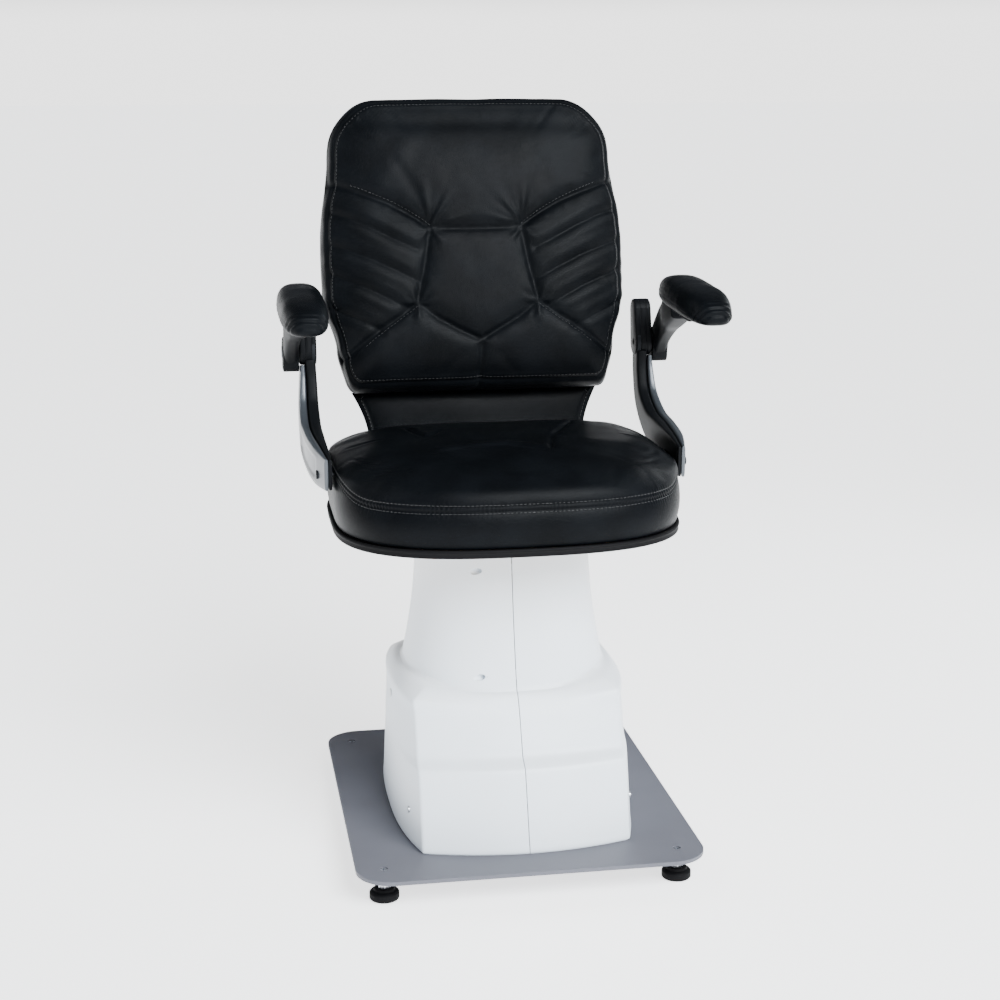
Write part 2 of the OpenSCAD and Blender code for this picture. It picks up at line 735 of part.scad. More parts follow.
// Puts a shape on the sloping rear wall of the cover, with +Y pointing out
module at_inlet() {
    translate([inlet_x, rear_at(inlet_x, inlet_z), inlet_z])
        rotate([inlet_lean, 0, -inlet_yaw])
            children();
}

module power_inlet() {
    color([0.07, 0.07, 0.08])
    at_inlet()
        difference() {
            union() {
                translate([-inlet_w / 2, -inlet_t, -inlet_h / 2])
                    cube([inlet_w, inlet_t, inlet_h]);
                translate([-inlet_w * 0.7, -side_seat, -inlet_h * 0.6])
                    cube([inlet_w * 1.4, 2 * side_seat, inlet_h * 1.2]);
            }
            translate([-inlet_w * 0.4, -inlet_t * 0.6, -inlet_h * 0.36])
                cube([inlet_w * 0.8, inlet_t, inlet_h * 0.72]);
        }
}

// Lifting unit

module lift_tube() {
    color([0.78, 0.79, 0.8])
    translate([0, 0, lift_bottom_z])
        difference() {
            cylinder(r = lift_r, h = lift_flange_z - lift_bottom_z, $fn = round_fn);
            translate([0, 0, -over])
                cylinder(r = lift_in_r, h = lift_flange_z - lift_bottom_z + 2 * over, $fn = round_fn);
        }
}

rod_head_h = guide_flange_t;

module actuator_rod() {
    color([0.8, 0.81, 0.82])
    union() {
        translate([0, 0, gear_z + gear_h + over])
            cylinder(r = rod_d / 2, h = lift_flange_z - gear_z - gear_h - over, $fn = round_fn);
        translate([0, 0, lift_flange_z - rod_head_h])
            cylinder(r = rod_d * 1.3, h = rod_head_h, $fn = round_fn);
    }
}

module lift_flange() {
    color([0.6, 0.61, 0.63])
    translate([0, 0, lift_flange_z])
        cylinder(r = sleeve_r, h = lift_flange_t, $fn = round_fn);
}

module lift_sleeve() {
    color([0.9, 0.91, 0.93])
    translate([0, 0, lift_flange_z - sleeve_len])
        difference() {
            cylinder(r = sleeve_r, h = sleeve_len, $fn = round_fn);
            translate([0, 0, -over])
                cylinder(r = sleeve_r - sleeve_wall, h = sleeve_len + 2 * over, $fn = round_fn);
        }
}

clip_t = base_t * 0.35;
spindle_top = board_z + pass_gap * 2 + clip_t * 2;

module swivel_spindle() {
    color([0.8, 0.81, 0.82])
    translate([0, 0, lift_flange_top])
        difference() {
            cylinder(r = spindle_d / 2, h = spindle_top - lift_flange_top, $fn = round_fn);
            translate([0, 0, board_z + pass_gap - lift_flange_top])
                difference() {
                    cylinder(r = spindle_d, h = clip_t + pass_gap, $fn = round_fn);
                    translate([0, 0, -over])
                        cylinder(r = spindle_d * 0.45, h = clip_t + 2 * over, $fn = round_fn);
                }
        }
}

module spindle_clip() {
    color([0.25, 0.26, 0.28])
    translate([0, 0, board_z + pass_gap])
        difference() {
            cylinder(r = spindle_d * 0.62, h = clip_t, $fn = round_fn);
            translate([0, 0, -over])
                cylinder(r = spindle_d * 0.45 + run_gap, h = clip_t + 2 * over, $fn = round_fn);
            translate([0, -spindle_d * 0.12, -over])
                cube([spindle_d, spindle_d * 0.24, clip_t + 2 * over]);
        }
}

module thrust_ring() {
    color([0.85, 0.84, 0.8])
    translate([0, 0, lift_flange_top])
        difference() {
            cylinder(r = sleeve_r * 0.92, h = ring_t, $fn = round_fn);
            translate([0, 0, -over])
                cylinder(r = sleeve_r * 0.62, h = ring_t + 2 * over, $fn = round_fn);
        }
}

// Seat

seat_cols = 60;
seat_half_d = seat_d / 2;

// Outline of the seat at angle a, set in by i
function seat_xy(a, i, k = 1) =
    let(front = sin(a) < 0, n = front ? 2.8 : 5)
    [k * (seat_half_w - i) * spow(cos(a), 2 / n),
     seat_mid_y + k * (seat_half_d - i) * spow(sin(a), 2 / n)];
function seat_outline(i) = [for (j = [0:seat_cols - 1]) seat_xy(j * turn / seat_cols, i)];

mount_bolt = mount_w * 0.42;
bar_x = mount_w / 2 + bar_w * 0.75;
bar_bolt_y = [seat_mid_y + seat_half_d * 0.45, seat_mid_y + seat_half_d * 0.8];
seat_bolt_r = base_t * 0.67;

module swivel_plate() {
    color([0.2, 0.21, 0.23])
    difference() {
        translate([0, 0, plate_z])
            rounded_plate(mount_w, mount_w, mount_w * 0.08, mount_t);
        translate([0, 0, plate_z - over])
            cylinder(r = spindle_d / 2 + run_gap, h = mount_t + 2 * over, $fn = round_fn);
        for (sx = [-1, 1], sy = [-1, 1]) {
            translate([sx * mount_bolt, sy * mount_bolt, plate_z - over])
                cylinder(r = seat_bolt_r + screw_gap, h = mount_t + 2 * over, $fn = round_fn);
        }
    }
}

module seat_bolts() {
    color([0.5, 0.51, 0.53])
    for (sx = [-1, 1], sy = [-1, 1]) {
        translate([sx * mount_bolt, sy * mount_bolt, 0]) {
            translate([0, 0, plate_z])
                cylinder(r = seat_bolt_r, h = mount_t + board_t * 0.8, $fn = round_fn);
            translate([0, 0, plate_z - seat_bolt_r])
                cylinder(r = seat_bolt_r * 1.8, h = seat_bolt_r, $fn = hex_fn);
        }
    }
}

rim_t = cover_wall * 2;
rim_gap = cover_wall * 2.5;

module seat_board() {
    color([0.72, 0.58, 0.4])
    difference() {
        translate([0, 0, board_z])
            linear_extrude(height = board_t)
                polygon(seat_outline(rim_gap));
        translate([0, 0, board_z - over])
            cylinder(r = spindle_d * 0.8, h = board_t + 2 * over, $fn = round_fn);
        for (sx = [-1, 1], sy = [-1, 1]) {
            translate([sx * mount_bolt, sy * mount_bolt, board_z - over])
                cylinder(r = seat_bolt_r + run_gap, h = board_t + over, $fn = round_fn);
        }
        for (sx = [-1, 1], y = bar_bolt_y) {
            translate([sx * bar_x, y, board_z - over])
                cylinder(r = seat_bolt_r + run_gap, h = board_t + over, $fn = round_fn);
        }
    }
}

module seat_rim() {
    color([0.07, 0.07, 0.08])
    translate([0, 0, board_z])
        linear_extrude(height = board_t)
            difference() {
                polygon(seat_outline(-rim_t * 0.1));
                polygon(seat_outline(rim_gap));
            }
}

tab_x = seat_half_w * 0.85;
tab_w = seat_half_d * 0.5;
tab_h = seat_crown * 0.73;
tab_mid_y = seat_mid_y + seat_half_d * 0.1;
tab_t = mount_t;
arm_bolt_z = cushion_z + seat_crown * 0.64;
arm_bolt_y = [tab_mid_y - tab_w * 0.3, tab_mid_y + tab_w * 0.3];

// Sewn pattern of the seat, in shares of its half width and half depth
seat_seams_share = [
    [[-0.36, 0.28], [-0.26, 0.02]], [[-0.26, 0.02], [-0.16, 0.24]],
    [[0.26, 0.02], [0.4, 0.42]], [[-0.26, 0.02], [-0.12, -0.2]], [[0.26, 0.02], [0.2, -0.2]],
    [[-0.12, -0.2], [0.2, -0.2]]
];
function seat_sewing(p) =
    let(q = [p[0] / seat_half_w, (p[1] - seat_mid_y) / seat_half_d],
        d = min([for (s = seat_seams_share) seg_dist(q, s[0], s[1])]))
    sewn(d, 0.055, seat_sew);
// Height of the seam round the seat at angle a: lowest at the front, highest along the sides
function seat_seam_h(a) =
    seat_side_h * (1 + 0.36 * smooth((0.25 - sin(a)) / 1.25 < 0.6 ? 1 : (1 - (-sin(a))) * 2.2));
// Height of the seat top at share k of the way out, at angle a
function seat_top(k, a) =
    let(p = seat_xy(a, 0, k), lip = sqrt(1 - pow(k, 9)), h = seat_seam_h(a))
    h + (seat_crown - h) * (0.8 * lip + 0.2 * (1 - k * k))
    - seat_sew * 0.4 * sewn(abs(k - 0.95), 0.02, -1) * smooth(-sin(a) * 2) + seat_sewing(p);
seat_k_share = [1, 0.99, 0.965, 0.93, 0.88, 0.82, 0.74, 0.65, 0.55, 0.45, 0.35, 0.25, 0.15, 0.07];

function seat_rings() = concat(
    [[for (j = [0:seat_cols - 1]) let(p = seat_xy(j * turn / seat_cols, rim_gap * 0.5))
        [p[0], p[1], pass_gap]],
     [for (j = [0:seat_cols - 1]) let(p = seat_xy(j * turn / seat_cols, 0))
        [p[0], p[1], seat_side_h * 0.3]]],
    [for (k = seat_k_share) [for (j = [0:seat_cols - 1])
        let(a = j * turn / seat_cols, p = seat_xy(a, 0, k)) [p[0], p[1], seat_top(k, a)]]]);

module seat_cushion() {
    color([0.09, 0.1, 0.11])
    translate([0, 0, cushion_z])
        difference() {
            loft(seat_rings());
            for (mx = [0, 1]) {
                mirror([mx, 0, 0]) {
                    translate([tab_x - tab_w * 0.5 - pass_gap, tab_mid_y - tab_w / 2 - pass_gap, 0])
                        cube([tab_w * 0.5 + tab_t + 2 * pass_gap, tab_w + 2 * pass_gap,
                            tab_t + 2 * pass_gap]);
                    translate([tab_x - pass_gap, tab_mid_y - tab_w / 2 - pass_gap, 0])
                        cube([tab_t + 2 * pass_gap, tab_w + 2 * pass_gap, tab_h + pass_gap]);
                    for (y = arm_bolt_y)
                        rod_x(tab_x - tab_t * 2, seat_half_w + over, y, arm_bolt_z - cushion_z,
                            seat_bolt_r * 1.6);
                }
            }
        }
}

module arm_tabs() {
    color([0.3, 0.31, 0.33])
    for (mx = [0, 1]) {
        mirror([mx, 0, 0])
            difference() {
                union() {
                    translate([tab_x - tab_w * 0.5, tab_mid_y - tab_w / 2, cushion_z])
                        cube([tab_w * 0.5 + tab_t, tab_w, tab_t]);
                    translate([tab_x, tab_mid_y - tab_w / 2, cushion_z])
                        cube([tab_t, tab_w, tab_h]);
                }
                for (y = arm_bolt_y)
                    rod_x(tab_x - over, tab_x + tab_t + over, y, arm_bolt_z, seat_bolt_r + run_gap);
            }
    }
}

// Back

back_half_l = back_len / 2;
lean_tan = tan(back_lean);
// Side edge of the back cushion at share v of its length
back_edge_share = [[0, 0], [0.14, 0.42], [0.32, 1], [0.52, 1], [0.8, 0.45], [1, 0]];
function back_half(v) =
    let(e = along(back_edge_share, v))
    lerp(v < 0.42 ? back_foot_half_w : back_top_half_w, back_half_w, e);
// Outline of the back in shares of its half length, at step j of n
back_n_side = 9;
back_n_corner = 5;
back_n_end = 9;
top_r_share = back_corner_r / back_half_l;
foot_r_share = top_r_share * 0.22;
function corner_pts(cx, cy, r, a0) =
    [for (k = [0:back_n_corner]) [cx + r * cos(a0 + quarter * k / back_n_corner),
        cy + r * sin(a0 + quarter * k / back_n_corner)]];
function edge_pts(a, b, n) = [for (k = [1:n - 1]) lerp(a, b, k / n)];
function back_outline() =
    let(t = top_r_share, f = foot_r_share,
        c0 = corner_pts(1 - t, 1 - t, t, 0), c1 = corner_pts(-1 + t, 1 - t, t, 90),
        c2 = corner_pts(-1 + f, -1 + f, f, 180), c3 = corner_pts(1 - f, -1 + f, f, 270))
    concat(c0, edge_pts(c0[back_n_corner], c1[0], back_n_end), c1,
        edge_pts(c1[back_n_corner], c2[0], back_n_side), c2,
        edge_pts(c2[back_n_corner], c3[0], back_n_end), c3,
        edge_pts(c3[back_n_corner], c0[0], back_n_side));
back_ring_share = back_outline();
// Point of the back at share k of the way out: across, along
function back_uv(q, k, i = 0) =
    let(v = clamp(0.5 + 0.5 * q[1] * k))
    [q[0] * k * (back_half(v) - i), back_half_l + q[1] * k * (back_half_l - i)];
back_seams_share = [
    [[0.98, 0.72], [0.36, 0.595]], [[0.36, 0.595], [-0.36, 0.595]], [[-0.36, 0.595], [-0.98, 0.72]],
    [[0.36, 0.595], [0.44, 0.35]], [[-0.36, 0.595], [-0.44, 0.35]],
    [[0.44, 0.35], [0, 0.25]], [[-0.44, 0.35], [0, 0.25]], [[0, 0.25], [0, 0.05]],
    [[0.44, 0.35], [0.95, 0.2]], [[-0.44, 0.35], [-0.95, 0.2]]
];
back_channels_share = [
    [[0.98, 0.63], [0.42, 0.51]], [[-0.98, 0.63], [-0.42, 0.51]],
    [[0.98, 0.54], [0.42, 0.43]], [[-0.98, 0.54], [-0.42, 0.43]],
    [[0.98, 0.44], [0.5, 0.33]], [[-0.98, 0.44], [-0.5, 0.33]],
    [[0.98, 0.33], [0.7, 0.27]], [[-0.98, 0.33], [-0.7, 0.27]]
];
function back_sewing(p) =
    let(q = [p[0] / back_half_w, p[1] / back_len * 2],
        w = [for (s = back_seams_share) [[s[0][0], s[0][1] * 2], [s[1][0], s[1][1] * 2]]],
        c = [for (s = back_channels_share) [[s[0][0], s[0][1] * 2], [s[1][0], s[1][1] * 2]]],
        d = min([for (s = w) seg_dist(q, s[0], s[1])]),
        e = min([for (s = c) seg_dist(q, s[0], s[1])]))
    sewn(d, 0.05, back_sew) + sewn(e, 0.05, back_sew * 0.6);
function back_front(k, p) =
    let(lip = sqrt(1 - pow(k, 8)))
    back_border_t + (back_cushion_t - back_border_t) * (0.8 * lip + 0.2 * (1 - k * k)) + back_sewing(p);
back_k_share = [1, 0.992, 0.97, 0.935, 0.88, 0.81, 0.72, 0.63, 0.54, 0.45, 0.36, 0.27, 0.18, 0.09];

// Puts a shape drawn across, along, and out to the front onto the leaning back plane
module on_back() {
    translate([0, back_y, back_z])
        rotate([quarter - back_lean, 0, 0])
            children();
}

function back_rings() = concat(
    [[for (q = back_ring_share) let(p = back_uv(q, 1, rim_gap)) [p[0], p[1], pass_gap]],
     [for (q = back_ring_share) let(p = back_uv(q, 1, 0)) [p[0], p[1], back_border_t * 0.4]]],
    [for (k = back_k_share) [for (q = back_ring_share)
        let(p = back_uv(q, k)) [p[0], p[1], back_front(k, p)]]]);

module back_cushion() {
    color([0.09, 0.1, 0.11])
    on_back()
        loft(back_rings());
}

module back_board() {
    color([0.07, 0.07, 0.08])
    on_back()
        difference() {
            translate([0, 0, -board_t])
                linear_extrude(height = board_t)
                    polygon([for (q = back_ring_share) back_uv(q, 1, rim_gap * 0.8)]);
            for (sx = [-1, 1], v = back_bolt_v)
                translate([sx * bar_x, v, -board_t - over])
                    cylinder(r = seat_bolt_r + run_gap, h = board_t + over, $fn = round_fn);
        }
}
back_bolt_v = [back_len * 0.12, back_len * 0.42];

bar_rise = back_len * 0.5;
bar_foot_y = seat_mid_y + seat_half_d * 0.3;
// The bar follows the rear of the back board, then bends under the seat board
bar_off = board_t / cos(back_lean);
bar_bend_y = back_y + bar_off + (board_z - back_z) * lean_tan;
bar_bend_r = bar_t * 5;

module back_bars() {
    color([0.2, 0.21, 0.23])
    difference() {
        for (sx = [-1, 1]) {
            translate([sx * bar_x + bar_w / 2, 0, 0])
                rotate([quarter, 0, -quarter])
                    linear_extrude(height = bar_w)
                        polygon(concat(
                            [[-bar_foot_y, board_z], [-bar_foot_y, board_z - bar_t]],
                            bar_bend(bar_t),
                            [[-bar_top(bar_t)[0], bar_top(bar_t)[1]], [-bar_top(0)[0], bar_top(0)[1]]],
                            [for (k = [len(bar_bend(0)) - 1:-1:0]) bar_bend(0)[k]]));
        }
        for (sx = [-1, 1], y = bar_bolt_y)
            translate([sx * bar_x, y, board_z - bar_t - over])
                cylinder(r = seat_bolt_r + screw_gap, h = bar_t + 2 * over, $fn = round_fn);
        on_back()
            for (sx = [-1, 1], v = back_bolt_v)
                translate([sx * bar_x, v, -board_t - bar_t - over])
                    cylinder(r = seat_bolt_r + screw_gap, h = bar_t + 2 * over, $fn = round_fn);
    }
}
// Bend of the bar for the face at depth d behind or under it, in [-y, z]
function bar_bend(d) =
    let(c = [bar_bend_y + bar_bend_r * (lean_tan - 1 / cos(back_lean)), board_z + bar_bend_r],
        r = bar_bend_r + d)
    [for (k = [0:6]) let(a = (quarter - back_lean) * k / 6)
        [-(c[0] + r * sin(a)), c[1] - r * cos(a)]];
function bar_top(d) =
    let(u = [sin(back_lean), cos(back_lean)], o = [cos(back_lean), -sin(back_lean)])
    [back_y, back_z] + u * bar_rise + o * (board_t + d);

module back_bolts() {
    color([0.5, 0.51, 0.53])
    union() {
        for (sx = [-1, 1], y = bar_bolt_y)
            translate([sx * bar_x, y, 0]) {
                translate([0, 0, board_z - bar_t])
                    cylinder(r = seat_bolt_r, h = bar_t + board_t * 0.8, $fn = round_fn);
                translate([0, 0, board_z - bar_t - seat_bolt_r])
                    cylinder(r = seat_bolt_r * 1.8, h = seat_bolt_r, $fn = hex_fn);
            }
        on_back()
            for (sx = [-1, 1], v = back_bolt_v)
                translate([sx * bar_x, v, -board_t - bar_t]) {
                    cylinder(r = seat_bolt_r, h = bar_t + board_t * 0.8, $fn = round_fn);
                    translate([0, 0, -seat_bolt_r])
                        cylinder(r = seat_bolt_r * 1.8, h = seat_bolt_r, $fn = hex_fn);
                }
    }
}

lumbar_low = back_len * 0.27;
lumbar_high = back_len * 0.004;
lumbar_cols_share = [-1, -0.97, -0.88, -0.7, -0.45, -0.2, 0, 0.2, 0.45, 0.7, 0.88, 0.97, 1];

module lumbar_panel() {
    color([0.09, 0.1, 0.11])
    on_back()
        translate([0, 0, -board_t])
            loft([for (k = [0:8])
                let(t = k / 8, v = -lerp(lumbar_low, lumbar_high, t),
                    w = lumbar_half_w * (1 + 0.14 * t * t),
                    e = 1 - pow(abs(2 * t - 1), 6) * 0.5)
                concat([[-w * 0.98, v, 0]],
                    [for (c = lumbar_cols_share) [c * w, v,
                        lumbar_t * (0.25 + 0.75 * e * sqrt(1 - 0.85 * pow(abs(c), 6)))]],
                    [[w * 0.98, v, 0]])]);
}

// Armrests

arm_in_x = max(seat_half_w, back_half_w) + arm_gap;
arm_pad_x = arm_in_x - arm_gap + arm_pad_out;
arm_reach = pivot_y - seat_mid_y;
// Centre line of the arm upright: [y, z, half height, inner x, part line x, outer x] in shares
// of the arm reach, the height from the arm foot to the pivot, and the arm thickness
arm_foot_z = arm_bolt_z + seat_crown * 0.1;
arm_rise = pivot_z - arm_foot_z;
arm_t = arm_pad_w * 0.38;
arm_path_share = [
    [-0.19, -0.04, 0.17, 0, 0.2, 0.42],
    [0.06, -0.02, 0.205, 0, 0.4, 0.92],
    [0.36, 0.02, 0.2, 0, 0.62, 1.18],
    [0.66, 0.1, 0.17, 0, 0.7, 1.26],
    [0.88, 0.32, 0.15, 0, 0.68, 1.2],
    [0.965, 0.62, 0.145, 0.02, 0.66, 1.08],
    [0.995, 0.88, 0.15, 0.06, 0.72, 0.97]
];
arm_steps = 22;
function arm_row(t) = curve_at(arm_path_share, t);
function arm_dir(t) =
    let(a = arm_row(max(t - 0.01, 0)), b = arm_row(min(t + 0.01, 1)),
        d = [(b[0] - a[0]) * arm_reach, (b[1] - a[1]) * arm_rise])
    d / norm(d);
// Ring around the arm at t, between two columns of x shares, eased by r at its corners
function arm_ring(t, i0, i1, grow, r, gap = 0) =
    let(c = arm_row(t), d = arm_dir(t), h = c[2] * arm_rise * grow,
        y = seat_mid_y + c[0] * arm_reach, z = arm_foot_z + c[1] * arm_rise,
        x0 = arm_in_x + c[i0] * arm_t + gap, x1 = arm_in_x + c[i1] * arm_t,
        e = min(r, (x1 - x0) * 0.45, h * 0.45))
    [for (q = [[x0, -h + e], [x0 + e * 0.3, -h + e * 0.3], [x0 + e, -h], [x1 - e, -h],
            [x1 - e * 0.3, -h + e * 0.3], [x1, -h + e], [x1, h - e], [x1 - e * 0.3, h - e * 0.3],
            [x1 - e, h], [x0 + e, h], [x0 + e * 0.3, h - e * 0.3], [x0, h - e]])
        [q[0], y - d[1] * q[1], z + d[0] * q[1]]];

head_r = arm_rise * 0.165;
head_x1 = arm_in_x + arm_t;
link_x0 = head_x1 + pass_gap * 4;
link_x1 = link_x0 + arm_t * 0.92;

module arm_frame() {
    color([0.08, 0.08, 0.09])
    difference() {
        union() {
            loft([for (k = [arm_steps:-1:0]) arm_ring(k / arm_steps, 3, 4, 1, arm_t * 0.16)]);
            rod_x(arm_in_x, head_x1, pivot_y, pivot_z, head_r);
            rod_x(arm_in_x, head_x1, head_top[0], head_top[1], head_top_r);
            translate([arm_in_x, 0, 0])
                rotate([quarter, 0, quarter])
                    linear_extrude(height = arm_t)
                        polygon([[pivot_y - head_r, pivot_z], [pivot_y + head_r, pivot_z],
                            head_top + [head_top_r, 0], head_top - [head_top_r, 0]]);
        }
        rod_x(arm_in_x - over, head_x1 + over, pivot_y, pivot_z, pivot_d / 2 + run_gap);
        for (y = arm_bolt_y) {
            rod_x(arm_in_x - over, head_x1 + over, y, arm_bolt_z, seat_bolt_r + screw_gap);
            rod_x(bolt_seat_x, head_x1 + over, y, arm_bolt_z, bolt_head_r + screw_gap);
        }
    }
}
head_top = [pivot_y + head_r * 0.4, pivot_z + head_r * 2.3];
head_top_r = head_r * 0.82;

shell_end = 0.94;
bolt_seat_x = arm_in_x + arm_t * 0.15;
bolt_head_r = seat_bolt_r * 1.7;
arm_cap_r = seat_bolt_r * 1.65;

module arm_shell() {
    color([0.68, 0.7, 0.73])
    difference() {
        loft([for (k = [arm_steps - 1:-1:0])
            arm_ring(shell_end * k / (arm_steps - 1), 4, 5, 1.04, arm_t * 0.2, pass_gap)]);
        rod_x(arm_in_x - over, head_x1 + arm_t, arm_bolt_y[0], arm_bolt_z, arm_cap_r + pass_gap);
    }
}

module arm_caps() {
    color([0.45, 0.47, 0.5])
    for (mx = [0, 1]) {
        mirror([mx, 0, 0])
            rod_x(bolt_seat_x + seat_bolt_r, arm_in_x + arm_t * 0.8, arm_bolt_y[0], arm_bolt_z, arm_cap_r);
    }
}

module arm_bolts() {
    color([0.3, 0.31, 0.33])
    for (mx = [0, 1], k = [0, 1]) {
        mirror([mx, 0, 0]) {
            rod_x(tab_x - tab_t, bolt_seat_x, arm_bolt_y[k], arm_bolt_z, seat_bolt_r);
            rod_x(bolt_seat_x, bolt_seat_x + seat_bolt_r, arm_bolt_y[k], arm_bolt_z, bolt_head_r);
        }
    }
}

module arm_pin() {
    color([0.35, 0.36, 0.38])
    union() {
        rod_x(arm_in_x, link_x1 + over, pivot_y, pivot_z, pivot_d / 2);
        rod_x(link_x1 + pass_gap, link_x1 + over, pivot_y, pivot_z, pivot_d * 0.8);
    }
}

pad_drop = arm_pad_len * 0.05;
pad_tilt = atan(pad_drop / arm_pad_len);
pad_base_t = cover_wall * 1.5;
pad_base_w = arm_pad_w * 0.62;
// Link from the pivot to the pad: [y, z, half height, inner x, outer x]
link_path = [
    [pivot_y, pivot_z - head_r * 0.2, head_r, link_x0, link_x1],
    [pivot_y - arm_reach * 0.12, pivot_z + arm_rise * 0.16, head_r, link_x0, link_x1],
    [pivot_y - arm_reach * 0.3, pivot_z + arm_rise * 0.36, head_r * 1.1, link_x0 - arm_t * 0.1,
        link_x1 + arm_t * 0.05],
    [pivot_y - arm_reach * 0.5, pivot_z + arm_rise * 0.46, head_r, arm_pad_x - pad_base_w * 0.42,
        arm_pad_x + pad_base_w * 0.42],
    [pivot_y - arm_reach * 0.72, pivot_z + arm_rise * 0.53, head_r * 0.5, arm_pad_x - pad_base_w * 0.42,
        arm_pad_x + pad_base_w * 0.42]
];

link_steps = 14;
function link_ring(t) =
    let(c = curve_at(link_path, t), b = curve_at(link_path, min(t + 0.02, 1)),
        a = curve_at(link_path, max(t - 0.02, 0)), v = [b[0] - a[0], b[1] - a[1]],
        d = v / norm(v), h = c[2], e = h * 0.3)
    [for (q = [[c[3], h - e], [c[3] + e * 0.3, h - e * 0.3], [c[3] + e, h], [c[4] - e, h],
            [c[4] - e * 0.3, h - e * 0.3], [c[4], h - e], [c[4], -h + e],
            [c[4] - e * 0.3, -h + e * 0.3], [c[4] - e, -h], [c[3] + e, -h],
            [c[3] + e * 0.3, -h + e * 0.3], [c[3], -h + e]])
        [q[0], c[0] - d[1] * q[1], c[1] + d[0] * q[1]]];

module on_pad() {
    translate([arm_pad_x, arm_pad_rear_y, arm_pad_z])
        rotate([pad_tilt, 0, 0])
            children();
}

// Heel of the link, which hangs below the pivot and hides the top of the shell
heel_w = head_r * 0.85;
heel_h = head_r * 1.42;
heel_r = head_r * 0.35;

module arm_link() {
    color([0.08, 0.08, 0.09])
    difference() {
        union() {
            loft([for (k = [0:link_steps]) link_ring(k / link_steps)]);
            rod_x(link_x0, link_x1, pivot_y, pivot_z, head_r * 1.05);
            for (side = [-1, 1])
                rod_x(link_x0, link_x1, pivot_y + side * (heel_w - heel_r), pivot_z - heel_h + heel_r,
                    heel_r);
            translate([link_x0, pivot_y - heel_w, pivot_z - heel_h + heel_r])
                cube([link_x1 - link_x0, 2 * heel_w, heel_h - heel_r]);
            translate([link_x0, pivot_y - heel_w + heel_r, pivot_z - heel_h])
                cube([link_x1 - link_x0, 2 * (heel_w - heel_r), heel_h]);
        }
        rod_x(link_x0 - over, link_x1 + over, pivot_y, pivot_z, pivot_d / 2 + run_gap);
        on_pad()
            translate([-arm_pad_w, -arm_pad_len, -pad_base_t])
                cube([2 * arm_pad_w, 2 * arm_pad_len, arm_pad_len]);
        on_pad()
            for (k = [0, 1])
                translate([0, -pad_screw_v[k], 0]) {
                    translate([0, 0, -arm_pad_len * 0.5])
                        cylinder(r = pad_screw_r + screw_gap, h = arm_pad_len * 0.5, $fn = round_fn);
                    translate([0, 0, -arm_pad_len * 0.5])
                        cylinder(r = pad_screw_r * 2 + screw_gap, h = arm_pad_len * 0.5 - pad_screw_z[k],
                            $fn = round_fn);
                }
    }
}
pad_screw_r = seat_bolt_r * 0.7;
pad_screw_v = [arm_pad_len * 0.12 + pad_base_w * 0.3, arm_pad_len * 0.12 + pad_base_w * 0.8];
// Depth of the seats of the two screws under the pad
pad_screw_z = [pad_base_t * 4.2, pad_base_t * 2.6];

module arm_base() {
    color([0.1, 0.1, 0.11])
    on_pad()
        difference() {
            translate([-pad_base_w / 2, -arm_pad_len * 0.7, -pad_base_t])
                cube([pad_base_w, arm_pad_len * 0.62, pad_base_t]);
            for (v = pad_screw_v)
                translate([0, -v, -pad_base_t - over])
                    cylinder(r = pad_screw_r + run_gap, h = pad_base_t + 2 * over, $fn = round_fn);
        }
}

module arm_screws() {
    color([0.5, 0.51, 0.53])
    on_pad()
        for (k = [0, 1])
            translate([0, -pad_screw_v[k], -pad_screw_z[k]]) {
                cylinder(r = pad_screw_r, h = pad_screw_z[k] - pad_base_t * 0.1, $fn = round_fn);
                translate([0, 0, -pad_screw_r])
                    cylinder(r = pad_screw_r * 2, h = pad_screw_r, $fn = round_fn);
            }
}

pad_cols = 28;
arm_k_share = [1, 0.975, 0.9, 0.78, 0.62, 0.45, 0.28, 0.12];
function pad_xy(a, i, k = 1) =
    [k * (arm_pad_w / 2 - i) * spow(cos(a), 0.75),
     -arm_pad_len / 2 + k * (arm_pad_len / 2 - i) * spow(sin(a), 0.5)];
function pad_top(k, p) =
    let(lip = sqrt(1 - pow(k, 3.2)), v = -p[1] / arm_pad_len)
    arm_pad_t * (0.42 + 0.58 * lip) - arm_pad_t * 0.1 * smooth((v - 0.72) / 0.28)
    + sewn(abs(v - 0.9), 0.02, arm_sew) + sewn(abs(v - 0.955), 0.02, arm_sew);

module arm_pad() {
    color([0.09, 0.1, 0.11])
    on_pad()
        loft(concat(
            [[for (j = [0:pad_cols - 1]) let(p = pad_xy(j * turn / pad_cols, arm_pad_w * 0.1))
                [p[0], p[1], pass_gap]],
             [for (j = [0:pad_cols - 1]) let(p = pad_xy(j * turn / pad_cols, 0))
                [p[0], p[1], arm_pad_t * 0.2]]],
            [for (k = arm_k_share) [for (j = [0:pad_cols - 1])
                let(p = pad_xy(j * turn / pad_cols, 0, k)) [p[0], p[1], pad_top(k, p)]]]));
}

module left_side() {
    mirror([1, 0, 0])
        children();
}

